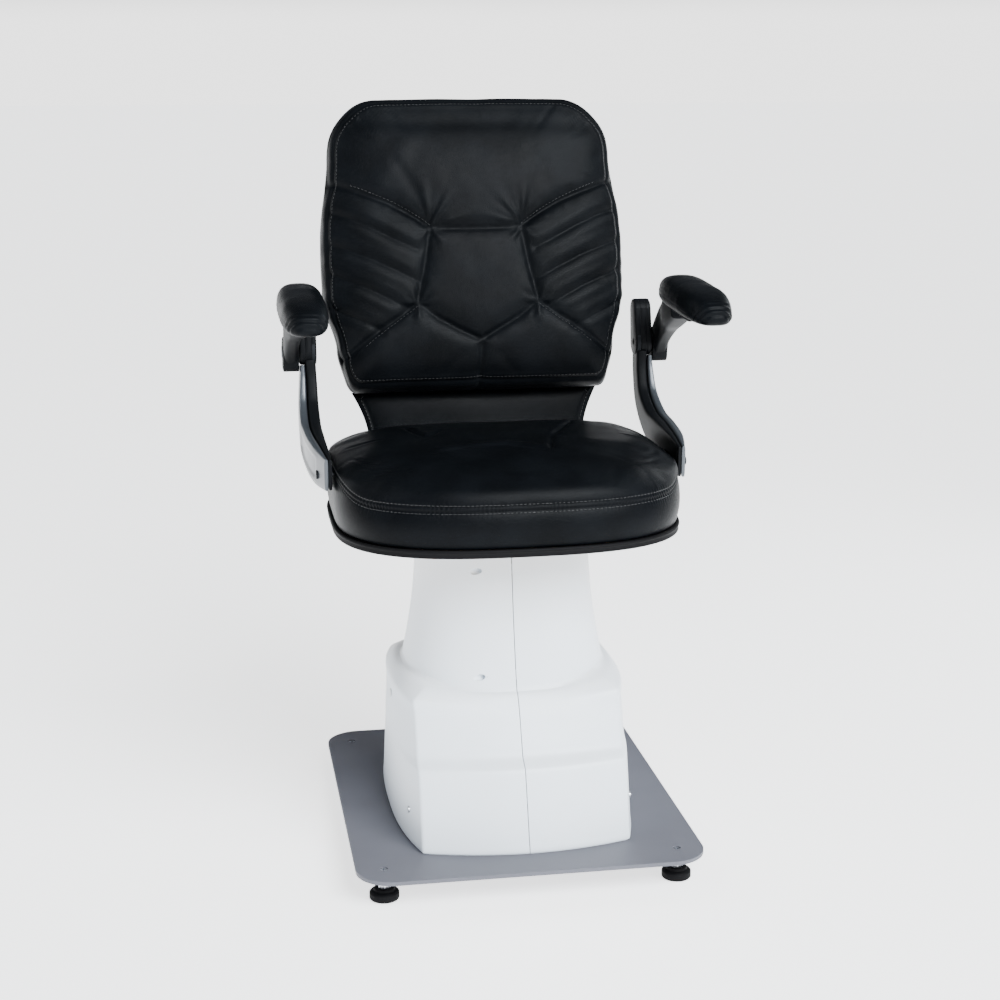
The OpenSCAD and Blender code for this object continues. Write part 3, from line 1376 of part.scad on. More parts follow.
base_plate();
foot_nuts();
foot_at(-1, -1) foot_stud();  // foot_stud_fl
foot_at(1, -1) foot_stud();  // foot_stud_fr
foot_at(-1, 1) foot_stud();  // foot_stud_rl
foot_at(1, 1) foot_stud();  // foot_stud_rr
foot_at(-1, -1) foot_pad();  // foot_pad_fl
foot_at(1, -1) foot_pad();  // foot_pad_fr
foot_at(-1, 1) foot_pad();  // foot_pad_rl
foot_at(1, 1) foot_pad();  // foot_pad_rr
cover_left();
cover_right();
cover_seam_screws();
cover_side_screws();
cover_plugs();
cover_brackets();
guide_tube();
guide_bolts();
guide_nuts();
glide_upper();
actuator_clevis();
clevis_pin();
actuator_housing();
control_box();
power_inlet();
lift_tube();
glide_lower();
actuator_rod();
lift_flange();
lift_sleeve();
swivel_spindle();
spindle_clip();
thrust_ring();
swivel_plate();
seat_bolts();
seat_board();
seat_rim();
seat_cushion();
back_bars();
back_bolts();
back_board();
back_cushion();
lumbar_panel();
arm_tabs();
arm_bolts();
arm_caps();
left_side() arm_frame();  // arm_frame_left
arm_frame();  // arm_frame_right
left_side() arm_shell();  // arm_shell_left
arm_shell();  // arm_shell_right
left_side() arm_pin();  // arm_pin_left
arm_pin();  // arm_pin_right
left_side() arm_link();  // arm_link_left
arm_link();  // arm_link_right
left_side() arm_base();  // arm_base_left
arm_base();  // arm_base_right
left_side() arm_pad();  // arm_pad_left
arm_pad();  // arm_pad_right
left_side() arm_screws();  // arm_screws_left
arm_screws();  // arm_screws_right
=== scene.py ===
"""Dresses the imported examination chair: upholstery, moulded cover, armrests, finishes and studio.

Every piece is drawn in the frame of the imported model, in metres. Sizes given in
millimetres below are turned into metres when a mesh is made.
"""
import math

import bmesh
import bpy
import numpy as np
from bpy.props import FloatProperty, FloatVectorProperty, IntProperty, PointerProperty
from mathutils import Matrix, Vector, noise
from mathutils.bvhtree import BVHTree


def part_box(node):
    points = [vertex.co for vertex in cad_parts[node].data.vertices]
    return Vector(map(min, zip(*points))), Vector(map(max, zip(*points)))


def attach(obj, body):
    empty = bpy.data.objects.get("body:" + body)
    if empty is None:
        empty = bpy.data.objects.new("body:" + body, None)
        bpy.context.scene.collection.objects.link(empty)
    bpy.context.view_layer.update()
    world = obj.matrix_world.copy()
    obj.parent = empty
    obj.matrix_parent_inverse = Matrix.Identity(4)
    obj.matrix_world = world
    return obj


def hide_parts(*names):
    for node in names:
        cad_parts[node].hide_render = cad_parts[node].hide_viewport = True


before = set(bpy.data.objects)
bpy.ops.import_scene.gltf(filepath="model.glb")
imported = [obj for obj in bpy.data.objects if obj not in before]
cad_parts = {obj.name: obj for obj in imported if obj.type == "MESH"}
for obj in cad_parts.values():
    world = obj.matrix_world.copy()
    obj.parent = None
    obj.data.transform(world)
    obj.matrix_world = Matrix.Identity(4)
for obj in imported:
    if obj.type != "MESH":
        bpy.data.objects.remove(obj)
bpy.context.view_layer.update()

bl_info = {
    "name": "Examination chair",
    "version": (1, 0, 0),
    "blender": (4, 5, 0),
    "location": "3D View > Sidebar > Chair",
    "description": "Upholstery, moulded parts, finishes and studio of an examination chair",
    "category": "Object",
}

MM = 0.001


def cad_size(node, axis):
    low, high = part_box(node)
    return high[axis] - low[axis]


# Numbers that several pieces share

def lerp(a, b, t):
    return a + (b - a) * t


def smooth(t):
    t = np.clip(t, 0.0, 1.0)
    return t * t * (3 - 2 * t)


def spow(v, e):
    return np.sign(v) * np.abs(v) ** e


def bell(d, w):
    return np.exp(-(d / w) ** 2)


def eased(table, v):
    """Value of a table of (place, value) rows at v, eased between rows."""
    v = np.asarray(v, float)
    xs = [row[0] for row in table]
    ys = [row[1] for row in table]
    k = np.clip(np.searchsorted(xs, v, side="right") - 1, 0, len(xs) - 2)
    xs, ys = np.array(xs), np.array(ys)
    return lerp(ys[k], ys[k + 1], smooth((v - xs[k]) / (xs[k + 1] - xs[k])))


def cubic(a, b, c, d, f):
    """Smooth curve from b to c as f goes from 0 to 1, with a before and d after them."""
    return 0.5 * (2 * b + (c - a) * f + (2 * a - 5 * b + 4 * c - d) * f * f
                  + (3 * b - a - 3 * c + d) * f ** 3)


def curve_at(rows, t):
    """Points of a smooth curve through the rows, for t from 0 to 1."""
    rows = np.asarray(rows, float)
    t = np.atleast_1d(np.asarray(t, float)) * (len(rows) - 1)
    k = np.clip(t.astype(int), 0, len(rows) - 2)
    f = (t - k)[:, None]
    last = len(rows) - 1
    return cubic(rows[np.clip(k - 1, 0, last)], rows[k],
                 rows[k + 1], rows[np.clip(k + 2, 0, last)], f)


def line_distance(p, line):
    """Distance of each point of p to a run of straight stretches, and the place along it."""
    best = np.full(len(p), 1e9)
    along = np.zeros(len(p))
    start = 0.0
    for a, b in zip(line[:-1], line[1:]):
        a, b = np.array(a, float), np.array(b, float)
        run = b - a
        length = np.linalg.norm(run)
        t = np.clip(((p - a) @ run) / length ** 2, 0, 1)
        d = np.linalg.norm(p - a - t[:, None] * run, axis=1)
        near = d < best
        best[near] = d[near]
        along[near] = (start + t * length)[near]
        start += length
    return best, along


def run_length(line):
    return sum(math.dist(a, b) for a, b in zip(line[:-1], line[1:]))


def places_along(run):
    """Length of a run of points up to each of them."""
    return np.concatenate([[0], np.cumsum(np.linalg.norm(np.diff(run, axis=0), axis=1))])


def rounded(u, v, power):
    """Edge of a square, rounded by a power, in the direction u, v."""
    s = (np.abs(u) ** power + np.abs(v) ** power) ** (-1 / power)
    return u * s, v * s


def rough(points, scale, seed=0.0):
    """Smooth noise from -1 to 1 at each point, with features about 1 / scale across."""
    shift = Vector((seed * 7.3, seed * 3.1, seed * 5.7))
    return np.array([noise.noise(Vector(p) * scale + shift) for p in points])


# Meshes

def shade_smooth(mesh):
    mesh.polygons.foreach_set("use_smooth", [True] * len(mesh.polygons))


def make_piece(name, points, faces, finish, body, flat=False):
    """A mesh piece in metres that rides on a body of the model."""
    mesh = bpy.data.meshes.new(name)
    mesh.from_pydata([tuple(p) for p in np.asarray(points, float)], [], faces)
    mesh.update()
    if not flat:
        shade_smooth(mesh)
    piece = bpy.data.objects.new(name, mesh)
    bpy.context.scene.collection.objects.link(piece)
    if finish is not None:
        mesh.materials.append(finish)
    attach(piece, body)
    return piece


def band_faces(rows, cols, closed=True, first=0):
    """Quads between rows of points, each row cols long."""
    faces = []
    for r in range(rows - 1):
        for c in range(cols if closed else cols - 1):
            a = first + r * cols + c
            b = first + r * cols + (c + 1) % cols
            faces.append((a, b, b + cols, a + cols))
    return faces


def rod_faces(rows, cols):
    """Faces round a run of closed rings, with a cap on each end."""
    last = (rows - 1) * cols
    return band_faces(rows, cols) + [tuple(range(cols - 1, -1, -1)),
                                     tuple(range(last, last + cols))]


def loop_faces(rows, cols):
    """Faces round a run of closed rings whose last ring joins the first."""
    last = (rows - 1) * cols
    return band_faces(rows, cols) + [(a + last, (a + 1) % cols + last, (a + 1) % cols, a)
                                     for a in range(cols)]


def edge_loop(rows, cols):
    """Points round the edge of a grid, in order."""
    return ([*range(cols)] + [q * cols + cols - 1 for q in range(1, rows)]
            + [(rows - 1) * cols + q for q in range(cols - 2, -1, -1)]
            + [q * cols for q in range(rows - 2, 0, -1)])


def shell_faces(rows, cols):
    """Faces of two grids, one after the other, that are joined round their edges."""
    size, rim = rows * cols, edge_loop(rows, cols)
    return (band_faces(rows, cols, False) + band_faces(rows, cols, False, size)
            + [(a, b, size + b, size + a) for a, b in zip(rim, rim[1:] + rim[:1])])


def round_places(count, closed=False):
    """Cosines and sines of turns that are evenly spaced round a circle."""
    turn = np.linspace(0, 2 * math.pi, count, endpoint=closed)
    return np.cos(turn), np.sin(turn)


def square_places(count, closed=True):
    """Directions evenly turned round a circle, as places on the edge of a square."""
    u, v = round_places(count, closed)
    scale = np.maximum(np.abs(u), np.abs(v))
    return u / scale, v / scale


def outward(piece):
    """Turns the faces of a closed mesh to the outside."""
    work = bmesh.new()
    work.from_mesh(piece.data)
    bmesh.ops.recalc_face_normals(work, faces=work.faces)
    work.to_mesh(piece.data)
    work.free()
    return piece


def applied(piece):
    """Makes the modifiers of a piece part of its mesh."""
    shape = piece.evaluated_get(bpy.context.evaluated_depsgraph_get())
    mesh = bpy.data.meshes.new_from_object(shape)
    old = piece.data
    piece.modifiers.clear()
    piece.data = mesh
    bpy.data.meshes.remove(old)
    return piece


def rod(start, end, radius, sides=40):
    """Points and faces of a closed round rod between two points, in millimetres."""
    start, end = np.array(start, float), np.array(end, float)
    axis = (end - start) / np.linalg.norm(end - start)
    side = np.cross(axis, [0, 0, 1] if abs(axis[2]) < 0.9 else [1, 0, 0])
    side /= np.linalg.norm(side)
    up = np.cross(axis, side)
    turn = np.linspace(0, 2 * math.pi, sides, endpoint=False)[:, None]
    ring = radius * (np.cos(turn) * side + np.sin(turn) * up)
    return np.vstack([start + ring, end + ring]) * MM, rod_faces(2, sides)


def carve(piece, rods, operation="DIFFERENCE"):
    """Cuts rods out of a closed piece, or joins them to it."""
    for k, (start, end, radius) in enumerate(rods):
        points, faces = rod(start, end, radius)
        tool = outward(make_piece(f"tool_{k}", points, faces, None, "base", flat=True))
        cut = piece.modifiers.new("carve", "BOOLEAN")
        cut.operation = operation
        cut.solver = "EXACT"
        cut.object = tool
        bpy.context.view_layer.update()
        applied(piece)
        bpy.data.objects.remove(tool)
    shade_smooth(piece.data)
    piece.data.set_sharp_from_angle(angle=math.radians(38))
    return piece


def soften(piece, width, angle=32, segments=2):
    """Rounds the hard edges of a piece by a width in millimetres."""
    if "custom_normal" in piece.data.attributes:
        piece.data.attributes.remove(piece.data.attributes["custom_normal"])
    shade_smooth(piece.data)
    weld = piece.modifiers.new("weld", "WELD")
    weld.merge_threshold = 1e-5
    flat = piece.modifiers.new("flat", "DECIMATE")
    flat.decimate_type = "DISSOLVE"
    flat.angle_limit = math.radians(0.6)
    edge = piece.modifiers.new("edge", "BEVEL")
    edge.width = width * MM
    edge.segments = segments
    edge.limit_method = "ANGLE"
    edge.angle_limit = math.radians(angle)
    edge.use_clamp_overlap = True
    edge.harden_normals = True
    return piece


# Materials

class Value:
    """A socket of a finish that can be used in a sum or a product."""

    def __init__(self, finish, socket):
        self.finish = finish
        self.socket = socket

    def maths(self, operation, *values):
        return self.finish.node("ShaderNodeMath", {"operation": operation},
                                dict(enumerate(values)))

    def __add__(self, other):
        return self.maths("ADD", self, other)

    __radd__ = __add__

    def __sub__(self, other):
        return self.maths("SUBTRACT", self, other)

    def __rsub__(self, other):
        return self.maths("SUBTRACT", other, self)

    def __mul__(self, other):
        return self.maths("MULTIPLY", self, other)

    __rmul__ = __mul__

    def between(self, low, high):
        """0 below low, 1 above high, and eased between them."""
        return self.finish.node("ShaderNodeMapRange", {"interpolation_type": "SMOOTHSTEP"},
                                {0: self, 1: low, 2: high, 3: 0.0, 4: 1.0})


class Nodes:
    """A node tree that is built up from its shader backwards."""

    def __init__(self, tree, shader):
        self.tree = tree
        self.shader = tree.nodes[shader]

    def join(self, socket, value):
        if isinstance(value, Value):
            self.tree.links.new(value.socket, socket)
        else:
            socket.default_value = value

    def feed(self, socket, value):
        self.join(self.shader.inputs[socket], value)

    def node(self, kind, settings=None, sockets=None, out=0):
        """Adds a node, gives it its settings, then the values or links of its sockets."""
        made = self.tree.nodes.new(kind)
        for key, value in (settings or {}).items():
            if key == "stops":
                ramp = made.color_ramp
                for k, (place, colour) in enumerate(value):
                    stop = ramp.elements[k] if k < 2 else ramp.elements.new(place)
                    stop.position = place
                    stop.color = colour
            else:
                setattr(made, key, value)
        for key, value in (sockets or {}).items():
            self.join(made.inputs[key], value)
        return Value(self, made.outputs[out])

    def blend(self, share, low, high):
        """Colour from low to high as share goes from 0 to 1."""
        return self.node("ShaderNodeMix", {"data_type": "RGBA"},
                         {0: share, 6: low, 7: high}, out=2)


class Finish(Nodes):
    """A material with one Principled shader, and the nodes that vary it over the surface."""

    def __init__(self, name, roughness=0.5, metallic=0.0, **fixed):
        self.material = bpy.data.materials.new(name)
        self.material.use_nodes = True
        super().__init__(self.material.node_tree, "Principled BSDF")
        self.feed("Roughness", roughness)
        self.feed("Metallic", metallic)
        for socket, value in fixed.items():
            self.feed(socket.replace("_", " "), value)
        self.place = self.node("ShaderNodeTexCoord", out=3)

    def noise(self, size, detail=3.0, rough_share=0.5, stretch=None):
        """Cloudy noise whose features are about size metres across."""
        return self.node("ShaderNodeTexNoise", None, {
            "Vector": self.stretched(stretch), "Scale": 1 / size, "Detail": detail,
            "Roughness": rough_share})

    def cells(self, size, feature="F1", smoothness=0.0, stretch=None):
        """Distance inside cells that are about size metres across."""
        sockets = {"Vector": self.stretched(stretch), "Scale": 1 / size}
        if feature == "SMOOTH_F1":
            sockets["Smoothness"] = smoothness
        return self.node("ShaderNodeTexVoronoi", {"feature": feature}, sockets)

    def stretched(self, stretch):
        if stretch is None:
            return self.place
        return self.node("ShaderNodeVectorMath", {"operation": "MULTIPLY"},
                         {0: self.place, 1: stretch})

    def edges(self):
        """Convexity of the surface: 0 on flat faces and hollows, towards 1 on outer edges; it masks
        edge wear, dust in hollows and painted shade in hollows.
        """
        return self.node("ShaderNodeNewGeometry", out=7)

    def bump(self, height, depth, strength=1.0, under=None):
        sockets = {"Strength": strength, "Distance": depth, "Height": height}
        if under is not None:
            sockets["Normal"] = under
        return self.node("ShaderNodeBump", None, sockets)


DUST = (0.1, 0.098, 0.094, 1.0)


def shade(colour, factor):
    return (*[min(1.0, c * factor) for c in colour[:3]], 1.0)


def leather(name, look):
    """Soft smooth-grain leather: small rounded grain cells, fine pores and a waxy sheen."""
    f = Finish(name, Specular_IOR_Level=look.shine)
    cloud = f.noise(0.06, 4.0)
    fine = f.noise(look.grain * 0.35, 2.0)
    cells = f.cells(look.grain, "SMOOTH_F1", 0.6)
    veins = f.cells(look.grain * 2.6, "DISTANCE_TO_EDGE", stretch=(1.0, 1.25, 1.0))
    crease = 1 - veins.between(0.0, 0.09)
    wear = f.edges().between(0.515, 0.6)
    base = f.blend(cloud.between(0.3, 0.7), shade(look.colour, 0.75), shade(look.colour, 1.25))
    worn = f.blend(wear * 0.45, base, look.worn_colour)
    f.feed("Base Color", f.blend(crease * 0.35, worn, shade(look.colour, 0.45)))
    f.feed("Roughness", look.roughness + 0.09 * cloud + 0.06 * fine + 0.05 * crease - 0.05 * wear)
    grain = f.bump(cells * 0.7 + fine * 0.3, look.grain_depth, 0.55)
    f.feed("Normal", f.bump(1 - crease, look.grain_depth * 0.8, 0.5, grain))
    return f.material


def moulded(name, colour, roughness, grain=0.0009, depth=0.00004, dust=0.25, shine=0.5):
    """Moulded plastic or rubber: faint texture of the tool, and a little dust in the hollows."""
    f = Finish(name, Specular_IOR_Level=shine)
    cloud = f.noise(0.09, 4.0)
    speck = f.noise(grain, 2.0, 0.6)
    hollow = 1 - f.edges().between(0.42, 0.5)
    clean = f.blend(cloud.between(0.3, 0.75), shade(colour, 0.94), shade(colour, 1.05))
    f.feed("Base Color", f.blend(hollow * dust, clean, DUST))
    f.feed("Roughness", roughness + 0.08 * cloud + 0.05 * speck)
    f.feed("Normal", f.bump(speck, depth, 0.6))
    return f.material


def cover_plastic(name, look):
    """Glossy off-white moulding, with painted shade in its hollows: a darker copy of its own colour
    where the surface is concave.
    """
    f = Finish(name, Specular_IOR_Level=0.5)
    cloud = f.noise(0.14, 5.0)
    flow = f.noise(0.02, 3.0, 0.5, stretch=(1.0, 1.0, 0.25))
    orange = f.noise(0.0035, 2.0, 0.5)
    hollow = 1 - f.edges().between(0.4, 0.495)
    clean = f.blend(cloud.between(0.3, 0.7), shade(look.cover_colour, 0.965), look.cover_colour)
    # Painted shade: the hollow mask blends in a darker copy of the cover colour where shade would
    # fall
    f.feed("Base Color", f.blend(hollow * 0.25, clean, shade(look.cover_colour, 0.72)))
    f.feed("Roughness", 0.3 + 0.1 * cloud + 0.05 * flow)
    f.feed("Normal", f.bump(orange, 0.00006, 0.35))
    return f.material


def powder_coat(name, look):
    """Fine-textured baked coat with slightly polished edges."""
    f = Finish(name, Specular_IOR_Level=0.22)
    cloud = f.noise(0.11, 4.0)
    pebbles = f.cells(0.0011, "SMOOTH_F1", 0.5)
    speck = f.noise(0.0006, 2.0)
    wear = f.edges().between(0.53, 0.62)
    base = f.blend(cloud.between(0.3, 0.7), shade(look.plate_colour, 0.94),
                   shade(look.plate_colour, 1.04))
    f.feed("Base Color", f.blend(wear * 0.5, base, shade(look.plate_colour, 1.35)))
    f.feed("Roughness", 0.46 + 0.08 * cloud - 0.12 * wear)
    f.feed("Normal", f.bump(pebbles * 0.7 + speck * 0.3, 0.00009, 0.5))
    return f.material


def silver_paint(name, colour):
    """Metallic silver paint on a moulded shell, with fine flakes and faint scuffs."""
    f = Finish(name, Coat_Weight=0.25, Coat_Roughness=0.12)
    cloud = f.noise(0.05, 4.0)
    flakes = f.cells(0.0005)
    scuff = f.noise(0.004, 3.0, 0.6, stretch=(1.0, 0.35, 1.6)).between(0.66, 0.8)
    base = f.blend(flakes.between(0.0, 0.9), shade(colour, 1.1),
                   shade(colour, 0.86))
    f.feed("Base Color", f.blend(scuff * 0.25, base, shade(colour, 0.62)))
    f.feed("Metallic", 0.4 + 0.1 * cloud)
    f.feed("Roughness", 0.3 + 0.1 * cloud + 0.14 * scuff)
    f.feed("Normal", f.bump(flakes, 0.00002, 0.3))
    return f.material


def metal(name, colour, roughness, brush=(1.0, 1.0, 12.0), grain=0.004, tarnish=0.3):
    """Bare or plated metal, with drawn or turned marks along one direction."""
    f = Finish(name)
    marks = f.noise(grain, 4.0, 0.6, stretch=brush)
    cloud = f.noise(0.03, 4.0)
    stain = cloud.between(0.52, 0.72)
    base = f.blend(marks.between(0.3, 0.7), shade(colour, 0.88), shade(colour, 1.08))
    f.feed("Base Color", f.blend(stain * tarnish, base, shade(colour, 0.55)))
    f.feed("Metallic", 1.0 - 0.15 * stain)
    f.feed("Roughness", roughness + 0.12 * marks + 0.1 * stain)
    f.feed("Normal", f.bump(marks, 0.00003, 0.35))
    return f.material


def plywood(name):
    """Beech plywood: pale face grain, with the veneers showing at the edge."""
    f = Finish(name, Specular_IOR_Level=0.35)
    grain = f.noise(0.05, 6.0, 0.6, stretch=(0.35, 6.0, 1.0))
    plies = f.noise(0.0032, 0.0, 0.5, stretch=(0.02, 0.02, 1.0)).between(0.42, 0.58)
    face = f.blend(grain.between(0.3, 0.7), (0.42, 0.26, 0.13, 1), (0.6, 0.42, 0.24, 1))
    f.feed("Base Color", f.blend(plies * 0.4, face, (0.3, 0.17, 0.08, 1)))
    f.feed("Roughness", 0.55 + 0.15 * grain)
    f.feed("Normal", f.bump(grain, 0.0001, 0.4))
    return f.material


def thread(name, colour):
    """Twisted sewing thread."""
    f = Finish(name, roughness=0.6, Sheen_Weight=0.3)
    twist = f.noise(0.0007, 2.0)
    f.feed("Base Color", f.blend(twist, shade(colour, 0.7), shade(colour, 1.2)))
    f.feed("Normal", f.bump(twist, 0.0001, 0.5))
    return f.material


# Sizes and colours that a user may change

class ChairLeather(bpy.types.PropertyGroup):
    colour: FloatVectorProperty(
        name="Leather colour", description="Colour of the upholstery leather", subtype="COLOR",
        size=4, min=0.0, max=1.0, default=(0.0022, 0.0028, 0.0036, 1.0))
    worn_colour: FloatVectorProperty(
        name="Worn colour", description="Colour where the leather is rubbed at its edges",
        subtype="COLOR", size=4, min=0.0, max=1.0, default=(0.007, 0.0077, 0.009, 1.0))
    thread_colour: FloatVectorProperty(
        name="Thread colour", description="Colour of the sewing thread", subtype="COLOR",
        size=4, min=0.0, max=1.0, default=(0.0045, 0.005, 0.006, 1.0))
    roughness: FloatProperty(
        name="Roughness", description="How dull the leather is", min=0.1, max=1.0, default=0.28)
    shine: FloatProperty(
        name="Shine", description="How strongly the leather mirrors light", subtype="FACTOR",
        min=0.0, max=1.0, default=0.045)
    grain: FloatProperty(
        name="Grain size", description="Width of one grain cell of the leather",
        unit="LENGTH", min=0.0003, max=0.01, default=0.0013)
    grain_depth: FloatProperty(
        name="Grain depth", description="Depth of the valleys between the grain cells",
        unit="LENGTH", min=0.0, max=0.002, default=0.00022)
    seam_depth: FloatProperty(
        name="Seam depth", description="How deep a sewn seam pulls into the padding",
        unit="LENGTH", min=0.0, max=0.02, default=0.0075)
    seam_width: FloatProperty(
        name="Seam width", description="Half width of the hollow along a seam",
        unit="LENGTH", min=0.001, max=0.02, default=0.0042)
    stitch_length: FloatProperty(
        name="Stitch length", description="Length of one stitch", unit="LENGTH",
        min=0.001, max=0.01, default=0.0042)
    fill: FloatProperty(
        name="Fill", description="How tightly the cushions are filled, from 0 to 1",
        subtype="FACTOR", min=0.0, max=1.0, default=0.72)
    pressure: FloatProperty(
        name="Pressure", description="Air pressure that swells the skins in the cloth simulation",
        min=0.0, max=20.0, default=4.0)


class ChairFinishes(bpy.types.PropertyGroup):
    cover_colour: FloatVectorProperty(
        name="Cover colour", description="Colour of the moulded cover halves", subtype="COLOR",
        size=4, min=0.0, max=1.0, default=(0.78, 0.84, 0.9, 1.0))
    plate_colour: FloatVectorProperty(
        name="Plate colour", description="Colour of the coated floor plate", subtype="COLOR",
        size=4, min=0.0, max=1.0, default=(0.105, 0.108, 0.127, 1.0))
    silver_colour: FloatVectorProperty(
        name="Silver colour", description="Colour of the painted armrest shells",
        subtype="COLOR", size=4, min=0.0, max=1.0, default=(0.06, 0.068, 0.078, 1.0))
    nylon_colour: FloatVectorProperty(
        name="Nylon colour", description="Colour of the armrest frames and links",
        subtype="COLOR", size=4, min=0.0, max=1.0, default=(0.0045, 0.005, 0.0058, 1.0))
    rubber_colour: FloatVectorProperty(
        name="Rubber colour", description="Colour of the feet and the rim band",
        subtype="COLOR", size=4, min=0.0, max=1.0, default=(0.005, 0.005, 0.0055, 1.0))


class ChairForm(bpy.types.PropertyGroup):
    seat_half_w: FloatProperty(
        name="Seat half width", description="Half width of the seat cushion", unit="LENGTH",
        min=0.1, max=0.5, default=cad_size("seat_cushion", 0) / 2)
    seat_half_d: FloatProperty(
        name="Seat half depth", description="Half depth of the seat cushion", unit="LENGTH",
        min=0.1, max=0.5, default=cad_size("seat_cushion", 1) / 2)
    seat_crown: FloatProperty(
        name="Seat crown", description="Height of the seat cushion at its middle",
        unit="LENGTH", min=0.03, max=0.3, default=0.117)
    detail: IntProperty(
        name="Detail", description="Half the number of mesh cells across a cushion",
        min=20, max=300, default=132)


class ChairStage(bpy.types.PropertyGroup):
    floor_colour: FloatVectorProperty(
        name="Floor colour", description="Colour of the plain floor", subtype="COLOR",
        size=4, min=0.0, max=1.0, default=(0.93, 0.93, 0.93, 1.0))
    floor_glow: FloatProperty(
        name="Floor glow", description="Strength of the light from under the floor", min=0.0,
        max=20.0, default=1.9)
    azimuth: FloatProperty(
        name="Camera azimuth", description="Direction that the camera looks in", unit="ROTATION",
        default=math.radians(-9.27))
    elevation: FloatProperty(
        name="Camera elevation", description="Height of the camera above the horizon",
        unit="ROTATION", default=math.radians(13.0))
    roll: FloatProperty(
        name="Camera roll", description="Turn of the camera about its own axis",
        unit="ROTATION", default=math.radians(-0.28))
    distance: FloatProperty(
        name="Camera distance", description="Distance of the camera from its target",
        unit="LENGTH", min=0.5, max=20.0, default=2.924)
    target_z: FloatProperty(
        name="Target height", description="Height of the point that the camera looks at",
        unit="LENGTH", default=0.526)
    target_x: FloatProperty(
        name="Target side", description="Sideways place of the point that the camera looks at",
        unit="LENGTH", default=-0.0011)
    lens: FloatProperty(
        name="Lens", description="Focal length in millimetres on a sensor 36 mm wide",
        min=10.0, max=300.0, default=67.74)
    light: FloatProperty(
        name="Lamps", description="Share of the usual power of all soft boxes", min=0.0,
        max=5.0, default=1.0)
    daylight: FloatProperty(
        name="Daylight", description="Strength of the broad light from above",
        min=0.0, max=50.0, default=4.2)
    sky: FloatProperty(
        name="Sky", description="Strength of the light that comes from all sides", min=0.0,
        max=20.0, default=1.0)
    horizon_colour: FloatVectorProperty(
        name="Horizon colour", description="Light that comes level from all sides",
        subtype="COLOR", size=4, min=0.0, max=10.0, default=(2.7, 2.7, 2.7, 1.0))
    sky_colour: FloatVectorProperty(
        name="Sky colour", description="Light that comes from above on all sides",
        subtype="COLOR", size=4, min=0.0, max=10.0, default=(0.2, 0.21, 0.23, 1.0))


# Colour, roughness, grain, depth, dust and shine of each moulded finish
MOULDED = {
    "back_shell": ((0.006, 0.006, 0.007, 1), 0.5, 0.0014, 0.0001, 0.1, 0.05),
    "bar_coat": ((0.01, 0.01, 0.012, 1), 0.4, 0.0011, 0.00007, 0.15, 0.05),
    "bush": ((0.7, 0.69, 0.64, 1), 0.42, 0.002, 0.00003, 0.2),
    "box": ((0.02, 0.021, 0.023, 1), 0.45, 0.0011, 0.00007, 0.2),
    "plug": ((0.72, 0.74, 0.76, 1), 0.35, 0.002, 0.00003, 0.1),
    "socket": ((0.013, 0.013, 0.015, 1), 0.34, 0.0013, 0.00004, 0.15),
}
# Colour, roughness, run of the marks, their size and tarnish of each metal
METALS = {
    "zinc": ((0.58, 0.6, 0.64, 1), 0.26, (1, 1, 8), 0.003, 0.25),
    "column_black": ((0.03, 0.032, 0.036, 1), 0.32, (1, 1, 14), 0.004, 0.1),
    "column_bright": ((0.62, 0.63, 0.65, 1), 0.2, (1, 1, 10), 0.003, 0.15),
    "alloy": ((0.42, 0.43, 0.45, 1), 0.4, (1, 1, 3), 0.006, 0.35),
    "steel": ((0.3, 0.31, 0.33, 1), 0.38, (1, 6, 1), 0.005, 0.4),
    "dark_steel": ((0.1, 0.105, 0.115, 1), 0.36, (6, 1, 1), 0.004, 0.3),
}
# How much darker the panel on the silver shell is, in each colour channel
PANEL_SHADE = (0.5, 0.56, 0.66, 1.0)


def finish_of(key):
    """A finish by its key, made once."""
    name = "finish_" + key
    ready = bpy.data.materials.get(name)
    if ready is not None:
        return ready
    if key in MOULDED:
        return moulded(name, *MOULDED[key])
    if key in METALS:
        return metal(name, *METALS[key])
    skin, look = bpy.context.scene.chair_leather, bpy.context.scene.chair_finishes
    nylon, rubber = look.nylon_colour, look.rubber_colour
    makers = {
        "leather": lambda: leather(name, skin),
        "thread": lambda: thread(name, skin.thread_colour),
        "cover": lambda: cover_plastic(name, look),
        "plate": lambda: powder_coat(name, look),
        "silver": lambda: silver_paint(name, look.silver_colour),
        "silver_dark": lambda: silver_paint(name, tuple(
            a * b for a, b in zip(look.silver_colour, PANEL_SHADE))),
        "nylon": lambda: moulded(name, nylon, 0.38, 0.0012, 0.00006, 0.1, 0.05),
        "hinge": lambda: moulded(name, shade(nylon, 2.6), 0.42, 0.0009, 0.00004, 0.1, 0.05),
        "rubber": lambda: moulded(name, rubber, 0.52, 0.0015, 0.00008, 0.12, 0.05),
        "board": lambda: plywood(name),
    }
    return makers[key]()


